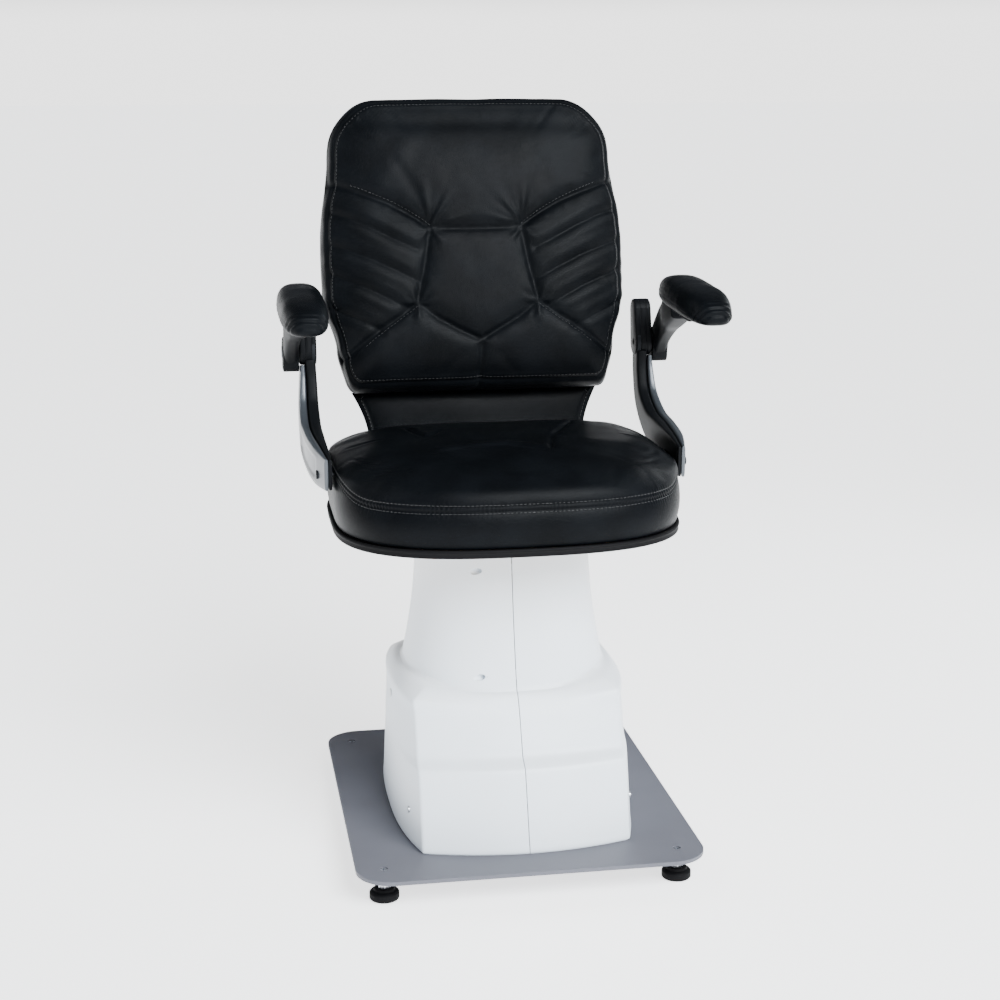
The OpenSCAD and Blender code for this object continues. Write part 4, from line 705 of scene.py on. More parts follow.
# Nodes that keep their own shape, by finish, each with the rounding of its edges in millimetres
NODE_LOOKS = {
    "plate": {"base_plate": 1.2},
    "zinc": {"foot_nuts": 0.5, "cover_seam_screws": 0.3, "cover_side_screws": 0.3,
             "guide_bolts": 0.4, "guide_nuts": 0.4, "clevis_pin": 0.4, "seat_bolts": 0.4,
             "back_bolts": 0.4, "arm_screws_left": 0.3, "arm_screws_right": 0.3},
    "steel": {"cover_brackets": 0.5, "actuator_clevis": 0.6, "lift_flange": 0.8,
              "swivel_spindle": 0.6},
    "dark_steel": {"spindle_clip": 0.2, "swivel_plate": 0.8, "arm_tabs": 0.6, "arm_bolts": 0.4,
                   "arm_pin_left": 0.4, "arm_pin_right": 0.4},
    "column_black": {"guide_tube": 0.8, "lift_sleeve": 0.5},
    "column_bright": {"lift_tube": 0.5, "actuator_rod": 0.5},
    "alloy": {"actuator_housing": 1.2},
    "bush": {"glide_upper": 0.4, "glide_lower": 0.4, "thrust_ring": 0.3},
    "plug": {"cover_plugs": 0.6},
    "box": {"control_box": 1.5},
    "socket": {"power_inlet": 0.4},
    "board": {"seat_board": 0.8},
    "bar_coat": {"back_bars": 0.8},
    "back_shell": {"back_board": 2.0},
    "hinge": {"arm_caps": 0.8},
    "nylon": {"arm_base_left": 0.8, "arm_base_right": 0.8},
    "rubber": {"foot_pad_" + corner: 0.8 for corner in ("fl", "fr", "rl", "rr")},
}


class CHAIR_OT_finishes(bpy.types.Operator):
    """Gives each solid that keeps its own shape its finish and its rounded edges"""
    bl_idname = "chair.finishes"
    bl_label = "Finish the solids"

    def execute(self, context):
        for look, nodes in NODE_LOOKS.items():
            for node, width in nodes.items():
                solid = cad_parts[node]
                solid.data.materials.clear()
                solid.data.materials.append(finish_of(look))
                soften(solid, width)
        return {"FINISHED"}


# Levelling feet, in millimetres

STUD_R, SOCKET_R, FOOT_HEX_R = 6.0, 3.1, 10.0


def hexagon(turn, flat):
    """How far the edge of a hexagon lies from its middle at each turn."""
    return flat / np.cos((turn + math.pi / 6) % (math.pi / 3) - math.pi / 6)


def level_ring(x, y, z, radius, turn):
    return np.stack([x + radius * np.cos(turn), y + radius * np.sin(turn),
                     np.full(len(turn), z)], 1)


def threaded(x, y, low, high, radius, pitch=1.75, cut=0.55, sides=32):
    """A threaded rod with a chamfer and a hexagon socket at its top."""
    steps = int((high - low) / pitch * 8)
    turn = np.linspace(0, 2 * math.pi, sides, endpoint=False)
    rows = []
    for k in range(steps + 1):
        z = low + (high - 0.6 - low) * k / steps
        wave = (z / pitch - turn / (2 * math.pi)) % 1.0
        r = radius - cut * 2 * np.abs(wave - 0.5) * min(1.0, (high - z) / pitch + 0.3)
        rows.append(level_ring(x, y, z, np.minimum(r, radius - 1.2 + (high - z)), turn))
    socket = hexagon(turn, SOCKET_R * math.cos(math.pi / 6))
    for z, r in ((high - 0.6, socket), (high - 4.5, socket), (high - 5.4, socket * 0.4)):
        rows.append(level_ring(x, y, z, r, turn))
    return np.vstack(rows) * MM, rod_faces(len(rows), sides)


def add_hex(piece, x, y, low, high, radius, sides=48):
    """Adds a hexagon with chamfered corners to a piece."""
    turn = np.linspace(0, 2 * math.pi, sides, endpoint=False)
    flat = radius * math.cos(math.pi / 6)
    rows = [level_ring(x, y, z, np.minimum(hexagon(turn, flat), most), turn) for z, most in (
        (low, flat), (low + 0.9, radius), (high - 0.9, radius), (high, flat))]
    work = bmesh.new()
    work.from_mesh(piece.data)
    ring = [[work.verts.new(tuple(p * MM)) for p in row] for row in rows]
    for a, b in zip(ring[:-1], ring[1:]):
        for k in range(sides):
            work.faces.new((a[k], a[(k + 1) % sides], b[(k + 1) % sides], b[k]))
    work.faces.new(ring[0][::-1])
    work.faces.new(ring[-1])
    for face in work.faces:
        face.smooth = True
    work.to_mesh(piece.data)
    work.free()


class CHAIR_OT_feet(bpy.types.Operator):
    """Cuts real threads on the four levelling studs"""
    bl_idname = "chair.feet"
    bl_label = "Levelling feet"

    def execute(self, context):
        bodies = {"fl": "foot_front_left", "fr": "foot_front_right",
                  "rl": "foot_rear_left", "rr": "foot_rear_right"}
        for corner, body in bodies.items():
            node = "foot_stud_" + corner
            low, high = (np.array(v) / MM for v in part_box(node))
            x, y = (low[0] + high[0]) / 2, (low[1] + high[1]) / 2
            points, faces = threaded(x, y, low[2], high[2], STUD_R)
            stud = make_piece("stud_" + corner, points, faces, finish_of("zinc"), body)
            outward(stud)
            pad_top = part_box("foot_pad_" + corner)[1][2] / MM
            nut_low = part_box("foot_nuts")[0][2] / MM
            add_hex(stud, x, y, pad_top + 0.02, nut_low - 0.3, FOOT_HEX_R)
            stud.data.set_sharp_from_angle(angle=math.radians(30))
            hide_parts(node)
        return {"FINISHED"}


# Moulded cover, in millimetres: s runs from 0 at the front seam, round one side, to 1 at the rear

COVER_FOOT, LEDGE_Z, SHOULDER_Z, NECK_Z, NECK_TOP_Z = 46, 164, 255, 266, 467
# Reach of the box to the front under the ledge and over it, to the rear and sideways, each at
# its lower and its upper end, then half width and reach of the neck at both of its ends
LOWER_FRONT, UPPER_FRONT = (256.0, 216.3), (199.3, 158.2)
BOX_REAR, BOX_HALF = (250.0, 161.3), (185.0, 178.5)
NECK_HALF, NECK_REACH = (156.0, 133.0), (142.0, 98.0)
NECK_POWERS = (2.5, 2.9)
CORNER_X = 157.0
SEAM_X = 0.6
WALL = 4.0
SLEEVE_HOLE = 84.9


def box_share(z):
    return (z - COVER_FOOT) / (SHOULDER_Z - COVER_FOOT)


def box_front(z):
    return np.where(z <= LEDGE_Z,
                    lerp(*LOWER_FRONT, (z - COVER_FOOT) / (LEDGE_Z - COVER_FOOT)),
                    lerp(*UPPER_FRONT, (z - LEDGE_Z) / (SHOULDER_Z - LEDGE_Z)))


def box_rear(z):
    return lerp(*BOX_REAR, box_share(z))


def box_half(z):
    return lerp(*BOX_HALF, box_share(z))


def box_xy(s, f, b, w, c=CORNER_X):
    """Outline of half the box, which reaches f ahead, b behind and w out, with corners at c."""
    bow = 0.1 * f
    t = (s - 0.25) / 0.5
    x = np.where(s <= 0.25, c * s / 0.25, np.where(s >= 0.75, c * (1 - s) / 0.25,
                 c + (w - c) * (1 - np.abs(2 * np.clip(t, 0, 1) - 1) ** 2.6)))
    y = np.where(s <= 0.25, -f + bow * (x / c) ** 2, np.where(s >= 0.75, b - bow * (x / c) ** 2,
                 lerp(-f + bow, b - bow, t)))
    return x, y


def neck_at(t):
    """Half width and reach of the neck at share t of its height."""
    waist = math.sin(math.pi * t)
    return lerp(*NECK_HALF, t) - 4.68 * waist, lerp(*NECK_REACH, t) - 4.97 * waist


def neck_xy(s, w, f, n):
    turn = math.pi * s
    return w * spow(np.sin(turn), 2 / n), -f * spow(np.cos(turn), 2 / n)


def side_share(s):
    """How much of the shoulder's rise each column has: all at the side, none at the seams."""
    return smooth((s - 0.06) / 0.3) * smooth((0.94 - s) / 0.3)


def cover_key_rings(s):
    """Rings of the half cover from the floor plate to the sleeve: x, y and z for each column."""
    rings = []

    def box(z, grow=0.0, inset=0.0):
        x, y = box_xy(s, float(box_front(np.array(z))) + grow - inset, box_rear(z) - inset,
                      box_half(z) - inset, CORNER_X - inset)
        rings.append((x, y, np.full_like(s, z)))

    for z, inset in ((COVER_FOOT, 2.4), (47.4, 2.2), (48.0, 0.3)):
        box(z, 0.0, inset)
    for z in (49, 60, 80, 105, 130, 150, 158):
        box(z)
    for z, grow in ((162.2, -0.4), (165.0, 15.0), (169.2, 8.0), (172.6, 2.4)):
        box(z, grow)
    for z in (177, 190, 215, 236):
        box(z)
    rise = side_share(s) * 14.0
    edge = box_xy(s, UPPER_FRONT[1], box_rear(SHOULDER_Z), box_half(SHOULDER_Z))
    inner = neck_xy(s, *neck_at(0), NECK_POWERS[0])
    for t in (0.0, 0.16, 0.35, 0.6, 0.85):
        rings.append((lerp(edge[0], inner[0], t), lerp(edge[1], inner[1], t),
                      249.5 + rise * (0.75 + 0.25 * smooth(np.array(t * 2)))
                      + 12.4 * math.sin(math.pi / 2 * min(1, t * 1.25))))
    for t in (0.0, 0.04, 0.12, 0.25, 0.4, 0.55, 0.7, 0.85, 0.95, 1.0):
        x, y = neck_xy(s, *neck_at(t), lerp(*NECK_POWERS, t))
        rings.append((x, y, lerp(NECK_Z, NECK_TOP_Z, t) + (1 - t) * rise))
    top = neck_xy(s, *neck_at(1), NECK_POWERS[1])
    mouth = (SLEEVE_HOLE * np.sin(math.pi * s), -SLEEVE_HOLE * np.cos(math.pi * s))
    for t, z in ((0.04, 471.5), (0.14, 473.7), (0.5, 474.0), (1.0, 474.0)):
        rings.append((lerp(top[0], mouth[0], t), lerp(top[1], mouth[1], t), np.full_like(s, z)))
    return np.array(rings)


def rounded_run(x, y, z, width):
    """Rounds the corners of an open run of points by a width in millimetres."""
    run = np.stack([x, y, z], 1)
    place = places_along(run[:, :2])
    even = np.linspace(0, place[-1], 240)
    fine = np.stack([np.interp(even, place, run[:, k]) for k in range(3)], 1)
    reach = max(1, int(3 * width / (even[1] - even[0])))
    mirror = np.array([-1, 1, 1])
    full = np.vstack([fine[reach:0:-1] * mirror, fine, fine[-2:-reach - 2:-1] * mirror])
    weight = bell(np.arange(-reach, reach + 1) * (even[1] - even[0]), width)
    weight /= weight.sum()
    return np.stack([np.convolve(full[:, k], weight, "valid") for k in range(3)], 1)


def half_cover(side):
    """One half of the moulded cover as a closed shell."""
    s = np.unique(np.concatenate([np.linspace(0, 1, 121), np.linspace(0.2, 0.3, 31),
                                  np.linspace(0.7, 0.8, 31)]))
    keys = cover_key_rings(s)
    widths = np.interp(np.arange(len(keys)), [0, 20, 25, len(keys) - 4, len(keys) - 1],
                       [2.2, 2.4, 2.2, 1.0, 0.5])
    runs = np.array([rounded_run(*ring, w) for ring, w in zip(keys, widths)])
    rows = []
    for k in range(len(runs) - 1):
        near = runs[max(0, k - 1)], runs[k], runs[k + 1], runs[min(len(runs) - 1, k + 2)]
        size = np.linalg.norm(runs[k + 1] - runs[k], axis=1).mean()
        steps = max(1, min(8, int(round(size / 4.5))))
        rows += [hermite(*near, j / steps) for j in range(steps)]
    rows.append(runs[-1])
    outer = np.array(rows)
    outer[:, :, 0] = np.maximum(outer[:, :, 0], SEAM_X)
    count, cols = outer.shape[:2]
    normal = np.cross(np.gradient(outer, axis=1), np.gradient(outer, axis=0))
    normal /= np.linalg.norm(normal, axis=2, keepdims=True) + 1e-9
    inner = outer - normal * WALL
    inner[:, 0, 0] = inner[:, -1, 0] = SEAM_X
    inner[:, :, 0] = np.maximum(inner[:, :, 0], SEAM_X)
    inner[0, :, 2] = outer[0, :, 2]
    inner[:, 0, 1] = outer[:, 0, 1] + WALL
    inner[:, -1, 1] = outer[:, -1, 1] - WALL
    inner[-1, :, :2] = outer[-1, :, :2]
    points = np.vstack([outer.reshape(-1, 3), inner.reshape(-1, 3)])
    points[:, 0] *= side
    name = "cover_half_left" if side < 0 else "cover_half_right"
    shell = make_piece(name, points * MM, shell_faces(count, cols), finish_of("cover"), "base")
    return outward(shell)


def hermite(a, b, c, d, f):
    """Point between b and c that keeps level runs level where the spacing changes."""
    size = np.linalg.norm(c - b, axis=1, keepdims=True) + 1e-6
    before = np.linalg.norm(b - a, axis=1, keepdims=True) + 1e-6
    after = np.linalg.norm(d - c, axis=1, keepdims=True) + 1e-6
    lean_b = (c - b) / size
    lean_a = (b - a) / before
    lean_c = (d - c) / after
    start = (lean_a * size + lean_b * before) / (size + before) * size
    end = (lean_b * after + lean_c * size) / (size + after) * size
    start = np.where(before < 1e-3, c - b, start)
    end = np.where(after < 1e-3, c - b, end)
    return ((2 * f ** 3 - 3 * f * f + 1) * b + (f ** 3 - 2 * f * f + f) * start
            + (3 * f * f - 2 * f ** 3) * c + (f ** 3 - f * f) * end)


# Height of each seam screw, and how far behind the front of the neck its first boss, its recess
# and the end of its second boss lie
SEAM_SCREWS = ((283.0, (1.5, 4.6, 9.9)), (440.0, (0.8, 2.9, 7.6)))
BOSS_R, TONGUE_R, RECESS_R = 8.4, 7.6, 5.0
INLET_HOLE = ((55.5, 220.7, 82.1), (57.3, 237.3, 89.1), 14.1)


class CHAIR_OT_cover(bpy.types.Operator):
    """Moulds the two halves of the white cover, with their joining bosses and screw recesses"""
    bl_idname = "chair.cover"
    bl_label = "Moulded cover"

    def execute(self, context):
        tongues, holes, bosses = [], [], []
        for z, falls in SEAM_SCREWS:
            reach = neck_at((z - NECK_Z - 1) / (NECK_TOP_Z - NECK_Z))[1]
            for way in (-1, 1):
                near, spot, end = (way * (reach - fall) for fall in falls)
                y = way * (reach - 9.3)
                tongues.append(((SEAM_X, y, z), (31.0, y, z), TONGUE_R))
                bosses.append(((-40.0, near - way * 9.4, z), (-SEAM_X, y, z), BOSS_R))
                bosses.append(((-76.0, end - way * 9.4, z), (-36.0, near - way * 9.3, z),
                               BOSS_R))
                holes.append(((-70.0, spot + way * 6.5, z), (-45.0, spot - way * 4.6, z),
                              RECESS_R))
        left = half_cover(-1)
        carve(left, bosses, "UNION")
        carve(left, holes)
        right = half_cover(1)
        carve(right, tongues, "UNION")
        carve(right, [INLET_HOLE])
        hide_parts("cover_left")
        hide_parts("cover_right")
        return {"FINISHED"}


# Upholstery

def disc(n):
    """Square grid of (2n + 1) x (2n + 1) places: ring share, direction, faces and rim order."""
    line = np.arange(-n, n + 1)
    i, j = np.meshgrid(line, line, indexing="xy")
    i, j = i.ravel(), j.ravel()
    ring = np.maximum(np.abs(i), np.abs(j))
    safe = np.maximum(ring, 1)
    u, v = np.where(ring > 0, i / safe, 1.0), np.where(ring > 0, j / safe, 0.0)
    width = 2 * n + 1
    faces = band_faces(width, width, False)
    return np.sin(ring / n * math.pi / 2), u, v, faces, edge_loop(width, width)


def cushion_skin(n, top, side_rows):
    """Closed skin of a cushion: its top over the grid, then side rows down to a flat underside.

    top(k, u, v) gives the points at share k of the way out in the direction u, v;
    side_rows is a list of functions that give a ring of points in the directions u, v.
    """
    k, u, v, faces, rim = disc(n)
    size, cols = len(k), len(rim)
    rows = [row(u[rim], v[rim]) for row in side_rows]
    for c in range(cols):
        a, b = rim[c], rim[(c + 1) % cols]
        faces.append((b, a, size + c, size + (c + 1) % cols))
    faces += [tuple(reversed(q)) for q in band_faces(len(rows), cols, True, size)]
    last = size + (len(rows) - 1) * cols
    faces.append(tuple(range(last, last + cols)))
    return np.vstack([top(k, u, v), *rows]), faces, size, cols


def resample(field, n_out, wrap=False):
    """Smoothly resamples the first axis of an array to n_out places."""
    n_in = len(field)
    if wrap:
        t = np.arange(n_out) / n_out * n_in
        k = t.astype(int)
        f = (t - k).reshape(-1, *[1] * (field.ndim - 1))
        near = (field[(k + q) % n_in] for q in (-1, 0, 1, 2))
    else:
        t = np.linspace(0, n_in - 1, n_out)
        k = np.clip(t.astype(int), 0, n_in - 2)
        f = (t - k).reshape(-1, *[1] * (field.ndim - 1))
        near = (field[np.clip(k + q, 0, n_in - 1)] for q in (-1, 0, 1, 2))
    return cubic(*near, f)


# Cloth of the skins: firm, light and slow, so that it swells without shaking
CLOTH = {"quality": 6, "mass": 0.3, "air_damping": 2.0, "tension_stiffness": 12,
         "compression_stiffness": 12, "shear_stiffness": 4, "bending_stiffness": 0.4,
         "use_pressure": True}
SWELL_STEPS = 20


def calm(grid, rounds):
    """Evens out an array over its first two axes."""
    for _ in range(rounds):
        for axis in (0, 1):
            ends = np.concatenate([grid.take([0], axis), grid, grid.take([-1], axis)], axis)
            n = grid.shape[axis]
            grid = (ends.take(range(n), axis) + 2 * grid + ends.take(range(2, n + 2), axis)) / 4
    return grid


def swell(name, n, n_fine, top, side_rows, held, cap, pressure, rounds=0):
    """Blows a coarse skin up as cloth and returns how far each point of the fine skin moves.

    held(points) gives the share, from 0 to 1, by which each point is held in place.
    """
    fine_top, fine_cols = (2 * n_fine + 1) ** 2, 8 * n_fine
    points, faces, size, cols = cushion_skin(n, top, side_rows)
    skin = make_piece(name, points * MM, faces, None, "base")
    outward(skin)
    group = skin.vertex_groups.new(name="held")
    for k, share in enumerate(held(points)):
        group.add([k], float(share), "REPLACE")
    cloth = skin.modifiers.new("swell", "CLOTH")
    settings = cloth.settings
    for key, value in CLOTH.items():
        setattr(settings, key, value)
    settings.uniform_pressure_force = pressure
    settings.vertex_group_mass = "held"
    settings.effector_weights.gravity = 0.0
    cloth.point_cache.frame_start = 1
    cloth.point_cache.frame_end = SWELL_STEPS
    scene = bpy.context.scene
    for step in range(1, SWELL_STEPS + 1):
        scene.frame_set(step)
    shape = skin.evaluated_get(bpy.context.evaluated_depsgraph_get())
    moved = np.zeros(len(shape.data.vertices) * 3)
    shape.data.vertices.foreach_get("co", moved)
    move = moved.reshape(-1, 3) / MM - points
    far = np.linalg.norm(move, axis=1, keepdims=True)
    move *= cap * np.tanh(far / cap) / np.maximum(far, 1e-9)
    scene.frame_set(1)
    bpy.data.objects.remove(skin)
    grid = calm(move[:size].reshape(2 * n + 1, 2 * n + 1, 3), rounds)
    grid = resample(grid, 2 * n_fine + 1)
    grid = resample(grid.transpose(1, 0, 2), 2 * n_fine + 1).transpose(1, 0, 2)
    rings = move[size:].reshape(len(side_rows), cols, 3)
    rings = resample(rings.transpose(1, 0, 2), fine_cols, wrap=True).transpose(1, 0, 2)
    return np.vstack([grid.reshape(-1, 3), rings.reshape(-1, 3)])


def normals_of(points, faces, size):
    """Outward direction at each point of a skin whose first size points are its top."""
    mesh = bpy.data.meshes.new("measure")
    mesh.from_pydata([tuple(p) for p in points], [], faces)
    mesh.update()
    out = np.zeros(len(points) * 3)
    mesh.vertices.foreach_get("normal", out)
    bpy.data.meshes.remove(mesh)
    out = out.reshape(-1, 3)
    return -out if out[:size, 2].mean() < 0 else out


def stitches(name, paths, tree, length, radius, body, pitch=1.5, lift=0.25):
    """Rows of stitches that lie on a surface, along paths in metres."""
    points, faces = [], []
    sides = 6
    turn = np.linspace(0, 2 * math.pi, sides, endpoint=False)[:, None]
    for path in paths:
        path = np.asarray(path, float)
        place = places_along(path)
        count = max(2, int(place[-1] / (length * pitch)))
        for k in range(count):
            mid = (k + 0.5) / count * place[-1]
            ends = []
            for at in (mid - length / 2, mid, mid + length / 2):
                p = Vector([np.interp(at, place, path[:, q]) for q in range(3)])
                spot, normal, _, away = tree.find_nearest(p)
                if spot is None or away > 0.02:
                    break
                ends.append((np.array(spot), np.array(normal)))
            if len(ends) < 3:
                continue
            (a, na), (m, nm), (b, nb) = ends
            axis = b - a
            if np.linalg.norm(axis) < length * 0.3:
                continue
            axis = axis / np.linalg.norm(axis)
            side = np.cross(nm, axis)
            side /= np.linalg.norm(side)
            first = len(points)
            rows = ((a - na * radius * 0.6, 0.45), (lerp(a, m, 0.35) + nm * radius * lift, 0.95),
                    (m + nm * radius * (lift + 0.35), 1.0),
                    (lerp(b, m, 0.35) + nm * radius * lift, 0.95), (b - nb * radius * 0.6, 0.45))
            for centre, grow in rows:
                ring = centre + radius * grow * (np.cos(turn) * side + np.sin(turn) * nm)
                points.extend(ring)
            faces += band_faces(len(rows), sides, True, first)
            faces += [tuple(range(first + sides - 1, first - 1, -1)),
                      tuple(range(first + 4 * sides, first + 5 * sides))]
    piece = make_piece(name, np.array(points), faces, finish_of("thread"), body)
    return outward(piece)


def sewn(name, coarse, n, top, side_rows, held, cap, pressure, rounds=0):
    """Skin of a cushion after its cloth simulation, and the outward direction at each point."""
    points, faces, size, cols = cushion_skin(n, top, side_rows)
    points = points + swell(name, coarse, n, top, side_rows, held, cap, pressure, rounds)
    return points, faces, size, cols, normals_of(points, faces, size)


def upholster(name, points, faces, body, node, fill):
    """Makes the leather piece that stands for a node; returns the tree that finds its surface."""
    piece = outward(make_piece(name, points, faces, finish_of("leather"), body))
    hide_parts(node)
    return BVHTree.FromPolygons([tuple(p) for p in points], faces)


# Seat cushion, in millimetres from its own base; the front is towards -y

SEAT_BASE, SEAT_Y = 509.1, -18
SEAM_H = 60
BOARD_Z = 497.1
# Mean radius that turns an angle round the seat into a length, and the pitch of its puckers
SEAT_R, PUCKER_PITCH = 240, 5.6
# Line, depth and width of each sewn crease, then of each wrinkle
SEAT_CREASES = (
    ([(-137, 106), (-126, 50), (-115, 6)], 3.4, 9.0),
    ([(-115, 6), (-100, 32), (-86, 62)], 3.0, 9.0),
    ([(144, 140), (112, 64), (79, -10)], 3.6, 9.0),
    ([(79, -10), (70, -50), (58, -112)], 3.0, 10.0),
    ([(-116, -98), (-58, -76), (-1, -70), (56, -110)], 3.2, 11.0),
)
SEAT_WRINKLES = (
    ([(-236, -40), (-222, -80), (-196, -112)], 1.5, 4.0),
    ([(-228, -96), (-206, -124), (-172, -146)], 1.2, 3.6),
    ([(-214, -134), (-186, -152), (-150, -168)], 0.9, 3.4),
    ([(236, -48), (220, -92), (190, -128)], 1.1, 4.5),
    ([(228, -110), (202, -140), (166, -166)], 0.9, 4.0),
    ([(-246, 40), (-214, 20), (-176, 16)], 0.9, 5.0),
    ([(246, 30), (216, 8), (180, 2)], 0.9, 5.0),
    ([(-60, -186), (0, -196), (66, -188)], 0.6, 6.0),
)


def pucker_wave(place, pitch):
    """Uneven small gathers along a seam, about pitch apart, from -1 to 1."""
    wave = np.sin(place * 2 * math.pi / pitch + 1.7 * np.sin(place / 9.3) + np.sin(place / 31.0))
    return wave * (0.6 + 0.4 * np.sin(place / 13.7 + 1.0))


def seat_edge(u, v):
    """Edge of the seat in the direction u, v: round at the front and squarer at the rear."""
    return rounded(u, v, np.where(v < 0, 2.8, 5.0))


def seat_seam_h(ev):
    """Height of the seam round the seat: low at the front and high along the sides."""
    down = np.where(ev < 0, np.abs(ev) ** 1.4, 0.0)
    return SEAM_H * (1 + 0.34 * smooth((0.62 - down) * 1.9))


def seat_top(k, u, v, half, depth, crown):
    eu, ev = seat_edge(u, v)
    h = seat_seam_h(ev)
    lip = np.sqrt(np.clip(1 - k ** 8, 0, 1))
    z = h + (crown - h) * (0.82 * lip + 0.18 * (1 - k * k))
    return np.stack([half * k * eu, SEAT_Y + depth * k * ev, z], 1)


def seat_side(share, bulge, half, depth):
    """A ring of the seat side: share 0 at the seam and 1 at the base."""
    def ring(u, v):
        eu, ev = seat_edge(u, v)
        h = seat_seam_h(ev) - 1.5
        out = bulge + 1.6 * math.sin(math.pi * share) * smooth((-ev - 0.2) / 0.6)
        return np.stack([(half + out) * eu, SEAT_Y + (depth + out) * ev,
                         lerp(h, 0.4, share)], 1)
    return ring


class CHAIR_OT_seat(bpy.types.Operator):
    """Sews the seat cushion: crowned top, double seam, bulging band, creases and rim band"""
    bl_idname = "chair.seat"
    bl_label = "Seat cushion"

    def execute(self, context):
        form, skin = context.scene.chair_form, context.scene.chair_leather
        half, depth = form.seat_half_w / MM, form.seat_half_d / MM
        crown = form.seat_crown / MM

        def top(k, u, v):
            return seat_top(k, u, v, half - 1.5, depth - 1.5, crown - 2.0)

        rows = [seat_side(share, bulge, half, depth) for share, bulge in (
            (0.02, -2.7), (0.05, -2.5), (0.09, -2.0), (0.14, -1.2), (0.2, -0.4), (0.28, 0.5),
            (0.37, 1.2), (0.47, 1.6), (0.57, 1.5), (0.67, 1.0), (0.77, 0.1), (0.86, -1.0),
            (0.93, -2.2), (0.97, -3.2), (1.0, -5.0))]

        def held(p):
            ring = np.maximum(np.abs(p[:, 0]) / half, np.abs(p[:, 1] - SEAT_Y) / depth)
            seam = bell(p[:, 2] - SEAM_H - 2, 7) * (ring > 0.8) * (p[:, 1] < -60)
            side = bell(p[:, 2] - 81, 6) * (ring > 0.9)
            low = smooth((26 - p[:, 2]) / 18)
            return np.clip(np.maximum(np.maximum(seam, side), low), 0, 1)

        n = form.detail
        points, faces, size, cols, normal = sewn("seat_swell", 40, n, top, rows, held, 5.0,
                                                 skin.pressure, 3)
        k, u, v, _, rim = disc(n)
        eu, ev = seat_edge(u, v)
        shift = np.zeros(len(points))
        flat = points[:, :2].copy()
        # Sewn creases of the top
        for line, deep, wide in SEAT_CREASES:
            d, along = line_distance(flat[:size], line)
            ends = smooth(along / 22.0) * smooth((run_length(line) - along) / 22.0)
            shift[:size] += (-deep * bell(d, wide * 0.5) + 0.35 * deep * bell(d - wide, wide)) \
                * (0.15 + 0.85 * ends)
        # Hollow along the seam row of the top, then puckers that run across it
        front = smooth((-ev - 0.15) / 0.35)
        rise = top(k, u, v)[:, 2] - seat_seam_h(ev)
        ripple = pucker_wave(np.arctan2(ev * depth, eu * half) * SEAT_R, PUCKER_PITCH)
        shift[:size] += -1.5 * bell(rise - 3.4, 1.7) + 0.4 * bell(rise, 1.5) \
            - 0.55 * ripple * bell(rise - 3, 6.5) * (0.25 + 0.75 * front)
        # The band under the seam: second row and puckers
        eu, ev = seat_edge(u[rim], v[rim])
        front = smooth((-ev - 0.15) / 0.35)
        ripple = pucker_wave(np.arctan2(ev * depth, eu * half) * SEAT_R, PUCKER_PITCH)
        for a in range(size, len(points), cols):
            below = seat_seam_h(ev) - points[a:a + cols, 2]
            shift[a:a + cols] += -1.5 * bell(below - 4.2, 1.7) - 0.55 * ripple \
                * bell(below - 3, 6.5) * (0.25 + 0.75 * front)
        # Long soft wrinkles of the leather
        low = rough(points * MM, 11.0, 1.0)
        mid = rough(points * MM, 26.0, 2.0)
        shift += 1.0 * low + 0.3 * mid * (points[:, 2] > 20)
        for line, deep, wide in SEAT_WRINKLES:
            d, along = line_distance(flat, line)
            total = run_length(line)
            fade = smooth(along / (0.4 * total)) * smooth((total - along) / (0.4 * total))
            shift -= deep * fade * (bell(d, wide) - 0.5 * bell(d - 2 * wide, wide)) \
                * (points[:, 2] > 30)
        shift[points[:, 2] < 8] = 0
        points = points + normal * shift[:, None]
        points[:, 2] = np.maximum(points[:, 2], 0.4)
        points[:, 2] += SEAT_BASE
        tree = upholster("seat_leather", points * MM, faces, "seat", "seat_cushion", skin.fill)
        eu, ev = seat_edge(*square_places(721))
        paths = [np.stack([half * eu, SEAT_Y + depth * ev, seat_seam_h(ev) + rise + SEAT_BASE],
                          1) * MM for rise in (5.2, -5.6)]
        stitches("seat_stitches", paths, tree, skin.stitch_length, 0.00038, "seat")
        rim_band(half, depth)
        return {"FINISHED"}


def rim_band(half, depth):
    """Rubber band that trims the edge of the seat board, with a bead along its top."""
    profile = [(-0.9, 0.6), (-0.3, 0.15), (1.2, 0.0), (7.5, 0.0), (7.5, 11.6), (3.4, 11.7),
               (2.6, 12.0), (1.6, 12.3), (0.2, 12.2), (-1.0, 11.6), (-1.9, 10.6), (-2.1, 9.4),
               (-1.7, 8.3), (-0.9, 7.6), (-0.5, 6.8), (-0.7, 4.0)]
    eu, ev = seat_edge(*square_places(480, False))
    rings = [np.stack([(half - i) * eu, SEAT_Y + (depth - i) * ev,
                       np.full(len(eu), BOARD_Z + z)], 1) for i, z in profile]
    points, faces = np.vstack(rings) * MM, loop_faces(len(rings), len(eu))
    band = outward(make_piece("rim_trim", points, faces, finish_of("rubber"), "seat"))
    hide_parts("seat_rim")


# Back cushion: across, along its length and out to the front, in millimetres

LEAN = math.radians(13.0)
BACK_FOOT_Y, BACK_FOOT_Z = 262, 658
BACK_MID = 237
